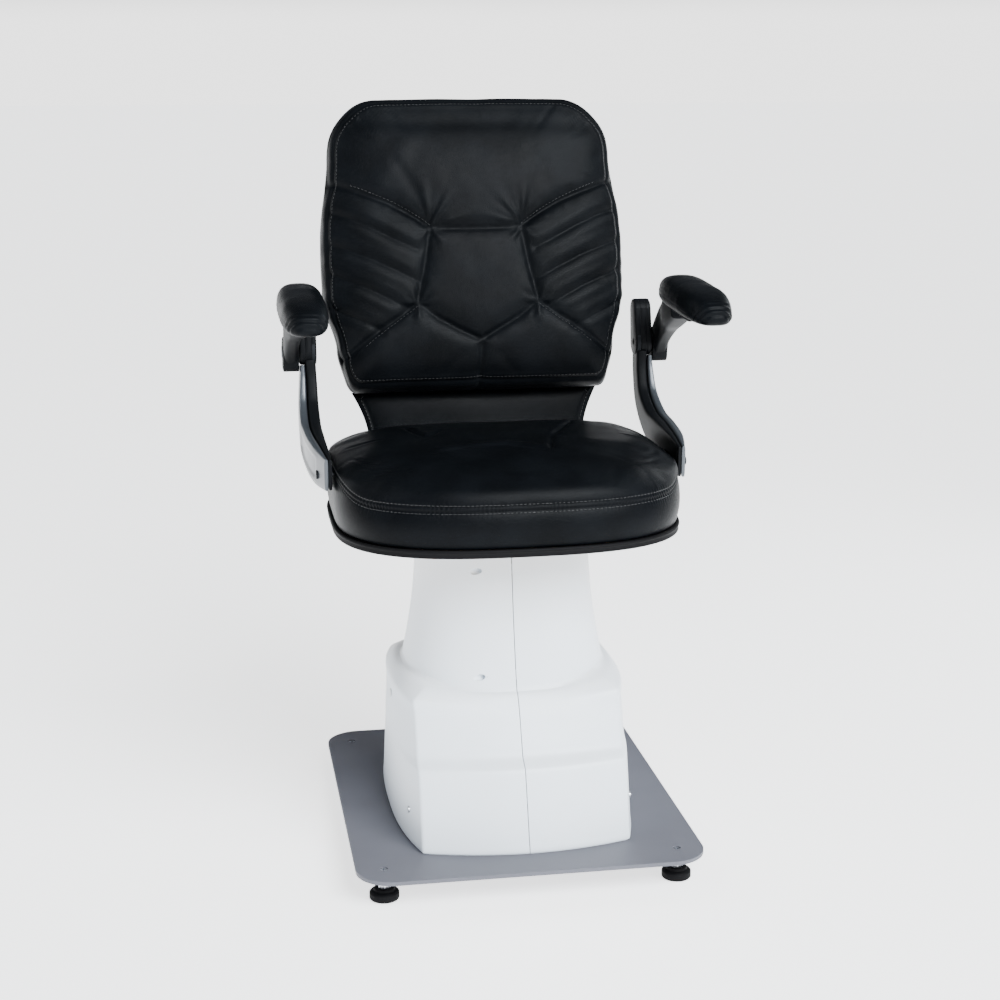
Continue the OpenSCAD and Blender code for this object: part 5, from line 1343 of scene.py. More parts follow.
# Height of the seam round the face over the flat rear of the cushion, and of its crown
BOXING_H, CROWN_H = 42, 46
BACK_EDGE = ((0, 0), (0.14, 0.42), (0.32, 1), (0.52, 1), (0.8, 0.45), (1, 0))
BACK_SEAMS = (
    [(-232, 334), (-205, 324), (-177, 314), (-142, 300), (-110, 283), (-86, 268), (-74, 258)],
    [(-74, 258), (-40, 256.5), (0, 256), (40, 256.5), (74, 258)],
    [(74, 258), (86, 268), (110, 283), (142, 300), (177, 314), (205, 324), (232, 334)],
    [(-74, 258), (-80, 228), (-86, 196), (-93, 165), (-99, 136)],
    [(74, 258), (80, 228), (86, 196), (93, 165), (99, 136)],
    [(-99, 136), (-82, 123), (-66, 111), (-33, 92), (-4, 78), (4, 75)],
    [(99, 136), (82, 123), (66, 111), (33, 92), (12, 80), (4, 75)],
    [(4, 75), (3, 50), (0, 22), (0, 6)],
    [(-99, 136), (-129, 115), (-163, 93), (-190, 74), (-226, 48)],
    [(99, 136), (129, 115), (163, 93), (190, 74), (226, 48)],
)
# Seams of the yoke, of the panel's lower edge and of the lower wings, by place in the list
YOKE_SEAMS, PANEL_FOOT_SEAMS, LOWER_SEAMS = (0, 2), (5, 6), (8, 9)
BACK_CHANNELS = (
    [(228, 284), (205, 276), (170, 260), (130, 239), (97, 223)],
    [(232, 233), (213, 226), (175, 211), (130, 189), (98, 172)],
    [(238, 187), (221, 179), (175, 160), (130, 136), (112, 126)],
    [(238, 133), (225, 125), (195, 112), (163, 95)],
)
# Corners of the centre panel that gathers run out from, with the distance of their crest
BACK_CORNERS = (((99, 134), 16), ((76, 254), 13))
# Line, depth and width of each long fold
BACK_FOLDS = (
    ([(-190, 436), (-60, 430), (70, 432), (190, 424)], 2.2, 15.0),
    ([(-150, 330), (-105, 400)], -1.4, 18.0), ([(118, 330), (98, 380)], 0.7, 12.0),
    ([(84, 276), (100, 330), (122, 362)], 0.8, 9.0),
    ([(-84, 276), (-104, 330), (-128, 368)], 0.9, 10.0),
    ([(-60, 20), (-30, 52)], 1.0, 9.0), ([(60, 20), (34, 50)], 1.0, 9.0),
)


def on_back(p):
    """Places points given as across, along and out to the front on the leaning back."""
    p = np.asarray(p, float)
    x, v, w = p[..., 0], p[..., 1], p[..., 2]
    return np.stack([x, BACK_FOOT_Y + v * math.sin(LEAN) - w * math.cos(LEAN),
                     BACK_FOOT_Z + v * math.cos(LEAN) + w * math.sin(LEAN)], -1)


def back_half(share):
    """Half width at a share of the length, from the lower edge up."""
    e = eased(BACK_EDGE, share)
    return lerp(np.where(share < 0.42, 216.0, 222.0), 250.0, e)


def back_edge(u, v):
    """Edge of a rounded square in the direction u, v: wide corners above, small ones below."""
    r = np.where(v > 0, 0.304, 0.067)
    c = 1 - r
    a, b = np.abs(u), np.abs(v)
    size = np.hypot(a, b)
    da, db = a / size, b / size
    dot = (da + db) * c
    hit = dot + np.sqrt(np.clip(dot * dot - (2 * c * c - r * r), 0, None))
    round_part = (np.minimum(da, db) * hit > c) & (dot * dot > 2 * c * c - r * r)
    s = np.where(round_part, hit, 1 / np.maximum(da, db))
    return np.sign(u) * da * s, np.sign(v) * db * s


def back_point(k, eu, ev, w, inset=0.0):
    share = np.clip(0.5 + 0.5 * ev * k, 0, 1)
    crown = 2.5 * np.cos(np.clip(eu * k, -1, 1) * math.pi / 2) * smooth((ev * k - 0.7) / 0.3)
    return np.stack([eu * k * (back_half(share) - inset),
                     BACK_MID + ev * k * (BACK_MID - inset) + crown, w], 1)


def mirrored(line):
    return [(-x, y) for x, y in line]


class CHAIR_OT_back(bpy.types.Operator):
    """Sews the back cushion: yoke, centre panel, channelled wings, boxing and lower edge"""
    bl_idname = "chair.back"
    bl_label = "Back cushion"

    def execute(self, context):
        form, skin = context.scene.chair_form, context.scene.chair_leather
        seam_deep, seam_wide = skin.seam_depth / MM, skin.seam_width / MM

        def top(k, u, v):
            eu, ev = back_edge(u, v)
            lip = np.sqrt(np.clip(1 - k ** 8, 0, 1))
            w = BOXING_H + CROWN_H * (0.8 * lip + 0.2 * (1 - k * k))
            return back_point(k, eu, ev, w, 2.0)

        def side(w, inset):
            def ring(u, v):
                eu, ev = back_edge(u, v)
                return back_point(np.ones(len(u)), eu, ev, np.full(len(u), w), inset)
            return ring

        rows = [side(w, inset) for w, inset in (
            (39, 1.0), (35, 0.3), (30, 0.0), (24, 0.1), (17, 0.6), (11, 1.8), (6, 4.0),
            (2.5, 7.0), (0.4, 11.0))]
        seams = [np.array(line, float) for line in BACK_SEAMS]

        def held(p):
            d = np.min([line_distance(p[:, :2], line)[0] for line in seams], axis=0)
            seam = bell(d, 7.0) * (p[:, 2] > 48) * 0.9
            border = bell(p[:, 2] - 60, 6.0) * 0.8
            low = smooth((14 - p[:, 2]) / 10)
            return np.clip(np.maximum(np.maximum(seam, border), low), 0, 1)

        n = form.detail
        local, faces, size, _, normal = sewn("back_swell", 44, n, top, rows, held, 7.0,
                                             skin.pressure)
        k = disc(n)[0]
        flat = local[:size, :2]
        shift = np.zeros(len(local))
        # Padding puffs up between the seams and dives into them
        deep = np.zeros(size)
        pucker = np.zeros(size)
        for q, line in enumerate(seams):
            d, along = line_distance(flat, line)
            total = run_length(line)
            out = smooth(along / 10.0) * smooth((total - along) / 10.0) * 0.35 + 0.65
            strong = (1.0 if q in YOKE_SEAMS
                      else 0.85 if q in PANEL_FOOT_SEAMS + LOWER_SEAMS else 0.72)
            hollow = 0.55 * bell(d, seam_wide) + 0.45 * bell(d, seam_wide * 3.2)
            deep = np.minimum(deep, -seam_deep * strong * hollow * out)
            wave = np.sin(along / 4.6 + 1.8 * np.sin(along / 17.0 + q))
            pucker += 0.5 * strong * wave * bell(d - 7, 7.0)
        shift[:size] += deep + pucker * 0.55
        # Quilted channels of the wings
        for line in BACK_CHANNELS:
            for path in (line, mirrored(line)):
                d, along = line_distance(flat, path)
                fade = 0.55 + 0.45 * smooth((run_length(path) - along) / 60)
                shift[:size] += -4.2 * fade * (0.5 * bell(d, 3.2) + 0.5 * bell(d, 9.0)) \
                    + 1.1 * fade * bell(d - 15, 9.0)
        # Gathers that fan out from the corners of the centre panel
        for sx in (-1, 1):
            rel = flat - np.array([sx * 76, 262])
            far = np.hypot(rel[:, 0], rel[:, 1])
            angle = np.arctan2(rel[:, 1], rel[:, 0] * sx)
            fan = np.sin(angle * 9 + 0.8) * 0.6 + np.sin(angle * 17 + 2.0) * 0.4
            shift[:size] += 1.5 * fan * bell(far - 20, 34) * smooth((rel[:, 1] + 2) / 10)
            for (x, y), crest in BACK_CORNERS:
                rel = flat - np.array([sx * x, y])
                far = np.hypot(rel[:, 0], rel[:, 1])
                angle = np.arctan2(rel[:, 1], rel[:, 0])
                shift[:size] += 0.8 * np.sin(angle * 7) * bell(far - crest, 12)
        for line, depth, wide in BACK_FOLDS:
            shift[:size] -= depth * bell(line_distance(flat, line)[0], wide)
        # Sewn edge between the front face and the boxing
        rim_mm = (1 - k) * 240
        shift[:size] += -1.6 * bell(rim_mm - 8.5, 2.4) + 0.7 * bell(rim_mm - 14.5, 4.0) \
            + 0.7 * bell(rim_mm - 3.5, 2.5)
        low = rough(local * MM, 12.0, 5.0)
        mid = rough(local * MM * np.array([1.2, 1.0, 1.0]), 30.0, 6.0)
        shift += 1.0 * low + 0.45 * mid
        shift[local[:, 2] < 6] = 0
        local = local + normal * shift[:, None]
        local[:, 2] = np.maximum(local[:, 2], 0.4)
        # The lower edge rolls under and hangs a little over the lumbar panel
        hang = smooth((16 - local[:, 1]) / 16) * bell(local[:, 2] - 40, 20)
        local[:, 1] -= 4.5 * hang
        tree = upholster("back_leather", on_back(local) * MM, faces, "seat", "back_cushion",
                         skin.fill * 0.9)
        u, v = square_places(721)
        ring = back_point(np.full(len(u), 0.958), *back_edge(u, v), np.full(len(u), 68.0), 2.0)
        paths = [on_back(ring) * MM]
        for q in YOKE_SEAMS + LOWER_SEAMS:
            off = np.array([0, 3.6 if q in YOKE_SEAMS else -3.4])
            row = np.column_stack([seams[q] + off, np.full(len(seams[q]), 82.0)])
            row = row[np.abs(row[:, 0]) < 214]
            paths.append(on_back(row) * MM)
        stitches("back_stitches", paths, tree, skin.stitch_length, 0.00034, "seat")
        return {"FINISHED"}


# Half width of the lumbar panel at its top, and how far it sits behind the front of the shell
LUMBAR_HALF, LUMBAR_BACK = 184, 12.0


class CHAIR_OT_lumbar(bpy.types.Operator):
    """Pads the panel that joins the back to the seat"""
    bl_idname = "chair.lumbar"
    bl_label = "Lumbar panel"

    def execute(self, context):
        skin = context.scene.chair_leather
        count, cols = 61, 121
        t = np.linspace(0, 1, count)
        c = np.sin(np.linspace(-1, 1, cols) * math.pi / 2)
        v = -lerp(128.0, 0.6, t)
        wide = LUMBAR_HALF * (1 + 0.14 * t * t)
        e = 1 - np.abs(2 * t - 1) ** 6 * 0.5
        edge = np.sqrt(1 - 0.85 * np.abs(c) ** 6)
        w = 20 * (0.25 + 0.75 * e[:, None] * edge[None, :])
        x = c[None, :] * (wide * (0.985 - 0.03 * np.sin(math.pi * t)))[:, None]
        front = np.stack([x, np.repeat(v[:, None], cols, 1), w], 2)
        front[:, :, 2] -= 1.6 * bell((1 - np.abs(c))[None, :] * LUMBAR_HALF - 11, 2.2)
        front[:, :, 2] += 0.7 * np.sin(x / 37.0 + 3 * t[:, None]) * (1 - c[None, :] ** 2)
        rear = front.copy()
        rear[:, :, 2] = 0.4
        rear[:, :, 0] *= 0.985
        flat = np.vstack([front.reshape(-1, 3), rear.reshape(-1, 3)])
        flat[:, 2] -= LUMBAR_BACK
        tree = upholster("lumbar_leather", on_back(flat) * MM, shell_faces(count, cols), "seat",
                         "lumbar_panel", 0.4)
        rows = [on_back(np.stack([sx * wide * 0.925, v, np.full(count, 8.0)], 1)[2:-2]) * MM
                for sx in (-1, 1)]
        stitches("lumbar_stitches", rows, tree, skin.stitch_length, 0.0004, "seat")
        return {"FINISHED"}


# Armrests, in millimetres; drawn for the right side and mirrored for the left

SIDES = {"left": -1, "right": 1}
# Rows along the upright: place ahead, height, half depth, then the edges of frame and shell
ARM_ROWS = ((-0.19, -0.04, 0.17, 0, 0.2, 0.42), (0.06, -0.02, 0.205, 0, 0.4, 0.92),
            (0.36, 0.02, 0.2, 0, 0.62, 1.18), (0.66, 0.1, 0.17, 0, 0.7, 1.26),
            (0.88, 0.32, 0.15, 0, 0.68, 1.2), (0.965, 0.62, 0.145, 0.02, 0.66, 1.08),
            (0.995, 0.88, 0.15, 0.06, 0.72, 0.97))
ARM_X, ARM_T, ARM_Z, ARM_RISE, ARM_REACH = 265.0, 27.36, 595.7, 137.3, 256.0
SHELL_GROW, SHELL_SHARE = 1.04, 0.955
PIVOT = (238.0, 733.0)
HEAD_R = 22.66
HEAD_SIDES = 96
# Place across and inset of each ring of the hinge head, then place and outset of its strap's
HEAD_PROFILE = ((0, 2.4), (0.5, 1.0), (1.8, 0.2), (4, 0.0), (8, 0.0), (8.5, 0.7), (9.2, 0.7),
                (9.7, 0.0), (18, 0.0), (18.5, 0.7), (19.2, 0.7), (19.7, 0.0), (24.5, 0.1),
                (26.4, 0.8), (27.3, 2.6))
STRAP_PROFILE = ((2.0, 0.2), (2.6, 0.9), (7.2, 0.9), (7.8, 0.2), (7.8, -1.0), (2.0, -1.0))
# Sides of the link, then rows along it: place back, height, half depth and its sides
LINK_X = (293.6, 318.7)
LINK_ROWS = ((238, 728.5, 22.66, *LINK_X), (207.3, 755, 22.66, *LINK_X),
             (161.2, 782.4, 24.9, LINK_X[0] - 2.7, LINK_X[1] + 1.4),
             (110, 796.2, 22.66, 281.3, 318.7), (53.7, 805.8, 11.3, 281.3, 318.7))
PAD_X, PAD_Y, PAD_Z = 300, 120, 821
PAD_TILT = math.radians(2.86)


def squircle(count, power):
    """Places round a soft rectangle, from -1 to 1."""
    c, s = round_places(count)
    return spow(c, 2 / power), spow(s, 2 / power)


def heading(rows, ts, step, scale=1.0):
    """Direction of a curve at each place, in its first two columns."""
    ahead, behind = (curve_at(rows, np.clip(ts + way, 0, 1)) for way in (step, -step))
    run = (ahead - behind)[:, :2] * scale
    return run / np.linalg.norm(run, axis=1, keepdims=True)


def panel_relief(a, b, t):
    """How far the outer face of the shell sinks in its panel, and swells along its border."""
    side = smooth(a * 2.2 - 0.9)
    hollow = smooth((0.6 - np.abs(b)) / 0.14) * smooth((t - 0.12) / 0.03) \
        * smooth((0.5 - t) / 0.05)
    ridge = bell(np.abs(b) - 0.7, 0.1) * smooth((t - 0.09) / 0.03) * smooth((0.53 - t) / 0.04)
    return side * (0.5 * ridge - 2.6 * hollow)


def arm_rings(ts, low, high, grow=1.0, gap=0.0, panel=False, count=48, power=5.0):
    """Rings round the arm upright between two columns of its table of places."""
    a, b = squircle(count, power)
    rings = []
    for t, c, d in zip(ts, curve_at(ARM_ROWS, ts),
                       heading(ARM_ROWS, ts, 0.01, (ARM_REACH, ARM_RISE))):
        y, z = SEAT_Y + c[0] * ARM_REACH, ARM_Z + c[1] * ARM_RISE
        x0, x1 = ARM_X + c[low] * ARM_T + gap, ARM_X + c[high] * ARM_T
        x, q = (x0 + x1) / 2 + a * (x1 - x0) / 2, b * c[2] * ARM_RISE * grow
        if panel:
            x = x + panel_relief(a, b, t)
        rings.append(np.stack([x, y - d[1] * q, z + d[0] * q], 1))
    return np.array(rings)


def dome(ring, near, steps):
    """Rings that close a loft past its end ring, away from the ring near it."""
    mid = ring.mean(0)
    out = mid - near.mean(0)
    out /= np.linalg.norm(out)
    size = np.linalg.norm(ring - mid, axis=1).min()
    return [mid + (ring - mid) * s + out * size * h for s, h in steps]


def loft(rings):
    """Points and faces of a closed loft with domed ends."""
    steps = ((0.93, 0.09), (0.7, 0.17), (0.35, 0.2))
    every = [*dome(rings[0], rings[1], steps[::-1]), *rings, *dome(rings[-1], rings[-2], steps)]
    return np.vstack(every) * MM, rod_faces(len(every), rings.shape[1])


def hinge_boss(x0, x1, y, z, radius, heel_w, heel_h, sides=112):
    """A rounded boss along x whose heel hangs below its middle, in millimetres."""
    c, s = round_places(sides)
    heel = (np.abs(c / heel_w) ** 5 + np.abs(s / heel_h) ** 5) ** -0.2
    heel = np.where(s < 0, heel, 0.0)
    outline = (radius ** 12 + heel ** 12) ** (1 / 12)
    profile = [(x0, 1.4), (x0 + 0.4, 0.4), (x0 + 1.4, 0.0), (x1 - 2.2, 0.0), (x1 - 1.2, 0.2),
               (x1 - 0.5, 0.7), (x1, 2.2), (x1 + 0.2, 4.2), (x1 + 0.2, 6.2), (x1 - 0.4, 6.8),
               (x1 - 0.4, 11.0), (x1, 11.6)]
    rings = [np.stack([np.full(sides, x), y + (outline - i) * c, z + (outline - i) * s], 1)
             for x, i in profile]
    return np.vstack(rings) * MM, rod_faces(len(rings), sides)


def head_outline():
    """Outline of the hinge head: a disc on the pivot, run into a smaller one above and behind."""
    low, top = np.array(PIVOT), np.array(PIVOT) + np.array([0.4, 2.3]) * HEAD_R
    low_r, top_r = HEAD_R, HEAD_R * 0.82
    run = top - low
    length = np.linalg.norm(run)
    run /= length
    side = np.array([run[1], -run[0]])
    level = -(low_r - top_r) / length
    outline = []
    for c, s in zip(*round_places(HEAD_SIDES)):
        centre, radius = (top, top_r) if s > level else (low, low_r)
        outline.append(centre + radius * (c * side + s * run))
    return np.array(outline)


def side_rings(profile, outline):
    """Rings across the arm: profile has places and values, outline(value) gives each ring."""
    return np.vstack([np.column_stack([np.full(HEAD_SIDES, ARM_X + x), outline(value)])
                      for x, value in profile]) * MM


def arm_piece(kind, side, shape, finish, body, sharp=None):
    """A piece of one armrest, drawn on the right and mirrored where it belongs on the left."""
    points, faces = np.array(shape[0]), shape[1]
    points[:, 0] *= SIDES[side]
    piece = outward(make_piece(f"{kind}_{side}", points, faces, finish_of(finish), body))
    if sharp:
        piece.data.set_sharp_from_angle(angle=math.radians(sharp))
    return piece


class CHAIR_OT_arms(bpy.types.Operator):
    """Moulds the armrest uprights, their silver shells, hinge heads and links"""
    bl_idname = "chair.arms"
    bl_label = "Armrests"

    def execute(self, context):
        for side in SIDES:
            self.upright(side)
            self.shell(side)
            self.link(side)
        return {"FINISHED"}

    def upright(self, side):
        frame_shape = loft(arm_rings(np.linspace(0, 1, 90), 3, 4))
        upright = arm_piece("upright", side, frame_shape, "nylon", "seat")
        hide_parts("arm_frame_" + side)
        outline = head_outline()
        mid = outline.mean(0)
        out = outline - mid
        far = np.linalg.norm(out, axis=1, keepdims=True)
        head = side_rings(HEAD_PROFILE, lambda inset: mid + out * (far - inset) / far)
        arm_piece("hinge_head", side, (head, rod_faces(len(HEAD_PROFILE), HEAD_SIDES)), "nylon",
                  "seat", sharp=40)
        # Strap round the hinge, a little lighter than the head
        places = np.column_stack(round_places(HEAD_SIDES))
        strap = side_rings(STRAP_PROFILE, lambda outset: PIVOT + (HEAD_R + outset) * places)
        arm_piece("hinge_strap", side, (strap, loop_faces(len(STRAP_PROFILE), HEAD_SIDES)),
                  "hinge", "seat", sharp=40)

    def shell(self, side):
        rings = arm_rings(np.linspace(0, 1, 90) * SHELL_SHARE, 4, 5, SHELL_GROW, 0.3, True, 72,
                          4.2)
        shell = arm_piece("silver_shell", side, loft(rings), "silver", "seat")
        sx = SIDES[side]
        low, high = (np.array(v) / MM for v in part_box("arm_caps"))
        y, z = (low[1] + high[1]) / 2, (low[2] + high[2]) / 2
        radius = (high[1] - low[1]) / 2
        carve(shell, [((sx * (ARM_X - 3), y, z), (sx * (ARM_X + 44), y, z), radius + 0.35)])
        shell.data.materials.append(finish_of("silver_dark"))
        for face in shell.data.polygons:
            _, y, z = face.center / MM
            t, across = self.along(y, z)
            if sx * face.normal.x > 0.5 and abs(across) < 0.56 and 0.13 < t < 0.49:
                face.material_index = 1
        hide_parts("arm_shell_" + side)

    def along(self, y, z):
        """Place along the upright of a point seen from its side, and how far out it lies."""
        ts = np.linspace(0, SHELL_SHARE, 160)
        rows = curve_at(ARM_ROWS, ts)
        far = np.hypot(SEAT_Y + rows[:, 0] * ARM_REACH - y, ARM_Z + rows[:, 1] * ARM_RISE - z)
        k = int(np.argmin(far))
        return ts[k], far[k] / (rows[k, 2] * ARM_RISE * SHELL_GROW)

    def link(self, side):
        ts = np.linspace(0, 1, 60)
        a, b = squircle(48, 4.0)
        rings = []
        for c, d in zip(curve_at(LINK_ROWS, ts), heading(LINK_ROWS, ts, 0.02)):
            q = b * c[2]
            ring = np.stack([(c[3] + c[4]) / 2 + a * (c[4] - c[3]) / 2, c[0] - d[1] * q,
                             c[1] + d[0] * q], 1)
            roof = PAD_Z - 6.2 + (ring[:, 1] - PAD_Y) * math.tan(PAD_TILT)
            ring[:, 2] = np.minimum(ring[:, 2], roof)
            rings.append(ring)
        body = "armrest_" + side
        link = arm_piece("link", side, loft(np.array(rings)), "nylon", body)
        boss = hinge_boss(LINK_X[0], LINK_X[1] + 0.6, *PIVOT, HEAD_R * 1.05, HEAD_R * 0.85,
                          HEAD_R * 1.42)
        arm_piece("link_boss", side, boss, "nylon", body, sharp=40)
        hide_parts("arm_link_" + side)


PAD_H = 48
# Place, depth and width of the folds round the nose of a pad
PAD_FOLDS = ((270, 0.9, 3.4), (281, 1.5, 3.2), (291, 1.2, 2.8))


def pad_edge(u, v):
    """Edge of the pad in the direction u, v, with blunt rounded ends."""
    return rounded(u, v, 3.2)


def on_arm(p, sx):
    """Places points of a pad, in metres, on the armrest of one side."""
    y = p[:, 1] * math.cos(PAD_TILT) - p[:, 2] * math.sin(PAD_TILT)
    z = p[:, 1] * math.sin(PAD_TILT) + p[:, 2] * math.cos(PAD_TILT)
    return np.stack([sx * (p[:, 0] + PAD_X), y + PAD_Y, z + PAD_Z], 1) * MM


def pad_rim(along):
    """Height of the widest line of a pad, which falls towards its nose."""
    return PAD_H * 0.42 - 4.8 * smooth((along - 0.72) / 0.28)


class CHAIR_OT_pads(bpy.types.Operator):
    """Upholsters the two arm pads, with the folds of their turned ends"""
    bl_idname = "chair.pads"
    bl_label = "Arm pads"

    def execute(self, context):
        skin = context.scene.chair_leather
        length, half = 268.0, 36.0

        def top(k, u, v):
            eu, ev = pad_edge(u, v)
            along = 0.5 - 0.5 * ev * k
            lip = np.sqrt(np.clip(1 - k ** lerp(3.0, 5.5, smooth((along - 0.6) / 0.4)), 0, 1))
            z = pad_rim(along) + PAD_H * 0.56 * lip
            return np.stack([(half - 0.8) * k * eu,
                             -length / 2 + (length / 2 - 0.8) * k * ev, z], 1)

        def side(height, inset):
            def ring(u, v):
                eu, ev = pad_edge(u, v)
                return np.stack([(half - inset) * eu, -length / 2 + (length / 2 - inset) * ev,
                                 np.maximum(pad_rim(0.5 - 0.5 * ev), 4) * height + 0.4], 1)
            return ring

        rows = [side(h, inset) for h, inset in (
            (0.93, 0.4), (0.82, 0.1), (0.66, 0.0), (0.5, 0.3), (0.34, 1.2), (0.2, 2.8),
            (0.08, 5.0), (0.0, 8.0))]

        def held(p):
            return np.clip(smooth((9 - p[:, 2]) / 7), 0, 1)

        n = 64
        base, faces, _, _, normal = sewn("pad_swell", 22, n, top, rows, held, 2.2,
                                         skin.pressure)
        for name, sx in SIDES.items():
            local = base.copy()
            share = -local[:, 1] / length
            shift = np.zeros(len(local))
            run = share * length + 0.8 * (46 - local[:, 2])
            bend = 2.0 * np.sin(local[:, 0] / 16.0 + 1.3 * sx)
            for place, deep, wide in PAD_FOLDS:
                d = run - place + bend
                fold = 0.4 * bell(np.abs(d) - 2.2 * wide, wide) - bell(d, wide)
                shift += deep * fold * smooth((share - 0.82) / 0.08) \
                    * smooth((local[:, 2] - 3) / 6)
            shift += -0.9 * bell(local[:, 2] - 13.0, 1.5) * (share < 0.86)
            shift += 0.5 * rough(local * MM, 26.0, 8.0 + sx) + 0.25 * rough(local * MM, 70.0, 9.0)
            shift[local[:, 2] < 4] = 0
            local = local + normal * shift[:, None]
            local[:, 2] = np.maximum(local[:, 2], 0.4)
            tree = upholster("pad_leather_" + name, on_arm(local, sx), faces, "armrest_" + name,
                             "arm_pad_" + name, 0.85)
            eu, ev = pad_edge(*square_places(361))
            ring = np.stack([half * eu, -length / 2 + length / 2 * ev,
                             np.full(len(eu), 12.4)], 1)
            path = on_arm(ring[ev > -0.62], sx)
            keep = np.linalg.norm(np.diff(path, axis=0), axis=1) < 0.03
            path = path[:-1][keep]
            stitches("pad_stitches_" + name, [path], tree, 0.0034, 0.00036, "armrest_" + name)
        return {"FINISHED"}


# Stage

LAMP_COLOUR = (0.93, 0.97, 1.0)
SUN_AT, SUN_ANGLE = (1.3, -1.9, 1.9), math.radians(50)
FLOOR_REACH, FLOOR_STEPS = 60, 32
# Name, place, aim, width, height and power of each soft box
LAMPS = (
    ("key", (1.1, -2.8, 2.5), (0.0, 0.0, 0.45), 2.2, 1.6, 200),
    ("left", (-2.2, -0.7, 2.6), (0.0, 0.0, 0.9), 0.5, 1.2, 16),
    ("edge_left", (-1.8, 1.2, 1.4), (0.0, 0.1, 0.7), 0.3, 1.5, 9),
    ("edge_right", (1.8, 1.2, 1.4), (0.0, 0.1, 0.7), 0.3, 1.5, 14),
)


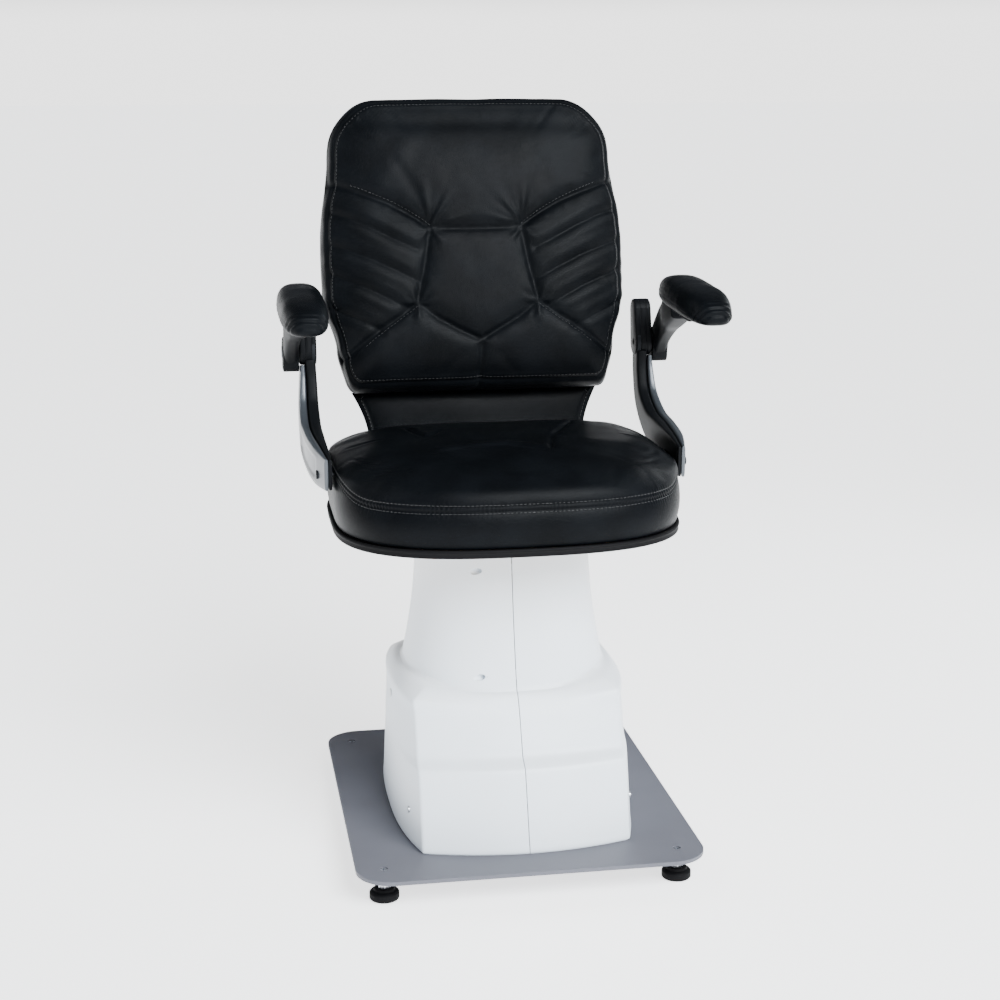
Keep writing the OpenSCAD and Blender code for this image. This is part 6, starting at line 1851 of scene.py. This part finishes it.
class CHAIR_OT_stage(bpy.types.Operator):
    """Sets the floor, the soft lights and the camera"""
    bl_idname = "chair.stage"
    bl_label = "Studio"

    def execute(self, context):
        stage = context.scene.chair_stage
        line = spow(np.linspace(-1, 1, FLOOR_STEPS + 1), 3) * FLOOR_REACH
        x, y = np.meshgrid(line, line, indexing="xy")
        points = np.stack([x.ravel(), y.ravel(), np.full(x.size, -0.0002)], 1)
        floor = make_piece("floor", points, band_faces(len(line), len(line), False),
                           self.floor_finish(stage), "base")
        self.sky(context, stage)
        sun = bpy.data.lights.new("sky_light", "SUN")
        sun.energy = stage.daylight
        sun.angle = SUN_ANGLE
        sun.color = LAMP_COLOUR
        self.lamp(context, sun, SUN_AT, (0.0, 0.0, 0.0))
        for name, at, to, wide, tall, power in LAMPS:
            data = bpy.data.lights.new(name, "AREA")
            data.shape = "RECTANGLE"
            data.size, data.size_y = wide, tall
            data.energy = power * stage.light
            data.color = LAMP_COLOUR
            self.lamp(context, data, at, to)
        self.camera(context, stage)
        return {"FINISHED"}

    def lamp(self, context, data, at, to):
        lamp = bpy.data.objects.new(data.name, data)
        lamp.location = at
        way = Vector(to) - Vector(at)
        lamp.rotation_euler = way.to_track_quat("-Z", "Y").to_euler()
        context.scene.collection.objects.link(lamp)

    def sky(self, context, stage):
        """White at the height of the horizon, and dim above it so that dark pieces stay dark."""
        world = bpy.data.worlds.new("studio")
        context.scene.world = world
        world.use_nodes = True
        nodes = Nodes(world.node_tree, "Background")
        way = nodes.node("ShaderNodeTexCoord")
        height = nodes.node("ShaderNodeSeparateXYZ", None, {0: way}, out=2)
        glow = height.between(0.02, 0.07)
        nodes.join(nodes.shader.inputs["Color"],
                   nodes.blend(glow, stage.horizon_colour, stage.sky_colour))
        nodes.shader.inputs["Strength"].default_value = stage.sky

    def floor_finish(self, stage):
        f = Finish("floor", Specular_IOR_Level=0.3, Emission_Strength=stage.floor_glow)
        cloud = f.noise(0.8, 3.0)
        f.feed("Base Color", f.blend(cloud, shade(stage.floor_colour, 0.985), stage.floor_colour))
        f.feed("Emission Color", stage.floor_colour)
        f.feed("Roughness", 0.55 + 0.1 * cloud)
        return f.material

    def camera(self, context, stage):
        data = bpy.data.cameras.new("camera")
        data.sensor_fit = "HORIZONTAL"
        data.sensor_width = 36.0
        data.lens = stage.lens
        data.clip_end = 60.0
        az, el, roll = stage.azimuth, stage.elevation, stage.roll
        back = Vector((math.sin(az) * math.cos(el), -math.cos(az) * math.cos(el), math.sin(el)))
        right = Vector((math.cos(az), math.sin(az), 0.0))
        up = back.cross(right)
        across = right * math.cos(roll) + up * math.sin(roll)
        rise = up * math.cos(roll) - right * math.sin(roll)
        target = Vector((math.cos(az) * stage.target_x, math.sin(az) * stage.target_x,
                         stage.target_z))
        camera = bpy.data.objects.new("camera", data)
        turn = Matrix((across, rise, back)).transposed().to_4x4()
        camera.matrix_world = Matrix.Translation(target + back * stage.distance) @ turn
        context.scene.collection.objects.link(camera)
        context.scene.camera = camera


class CHAIR_PT_panel(bpy.types.Panel):
    """Sizes, colours and pieces of the examination chair"""
    bl_label = "Examination chair"
    bl_idname = "CHAIR_PT_panel"
    bl_space_type = "VIEW_3D"
    bl_region_type = "UI"
    bl_category = "Chair"

    def draw(self, context):
        for group in ("chair_leather", "chair_finishes", "chair_form", "chair_stage"):
            box = self.layout.box()
            settings = getattr(context.scene, group)
            for key in settings.bl_rna.properties.keys():
                if key not in ("rna_type", "name"):
                    box.prop(settings, key)
        for operator in OPERATORS:
            self.layout.operator(operator.bl_idname)


GROUPS = {"chair_leather": ChairLeather, "chair_finishes": ChairFinishes,
          "chair_form": ChairForm, "chair_stage": ChairStage}
OPERATORS = (CHAIR_OT_finishes, CHAIR_OT_feet, CHAIR_OT_cover, CHAIR_OT_seat, CHAIR_OT_back,
             CHAIR_OT_lumbar, CHAIR_OT_arms, CHAIR_OT_pads, CHAIR_OT_stage)


def register():
    for name, group in GROUPS.items():
        bpy.utils.register_class(group)
        setattr(bpy.types.Scene, name, PointerProperty(type=group))
    for each in (*OPERATORS, CHAIR_PT_panel):
        bpy.utils.register_class(each)


def unregister():
    for each in (CHAIR_PT_panel, *reversed(OPERATORS)):
        bpy.utils.unregister_class(each)
    for name, group in reversed(list(GROUPS.items())):
        delattr(bpy.types.Scene, name)
        bpy.utils.unregister_class(group)


def main():
    register()
    for operator in OPERATORS:
        family, name = operator.bl_idname.split(".")
        if getattr(getattr(bpy.ops, family), name)() != {"FINISHED"}:
            raise RuntimeError(f"{operator.bl_label} did not finish")


if __name__ == "__main__":
    main()
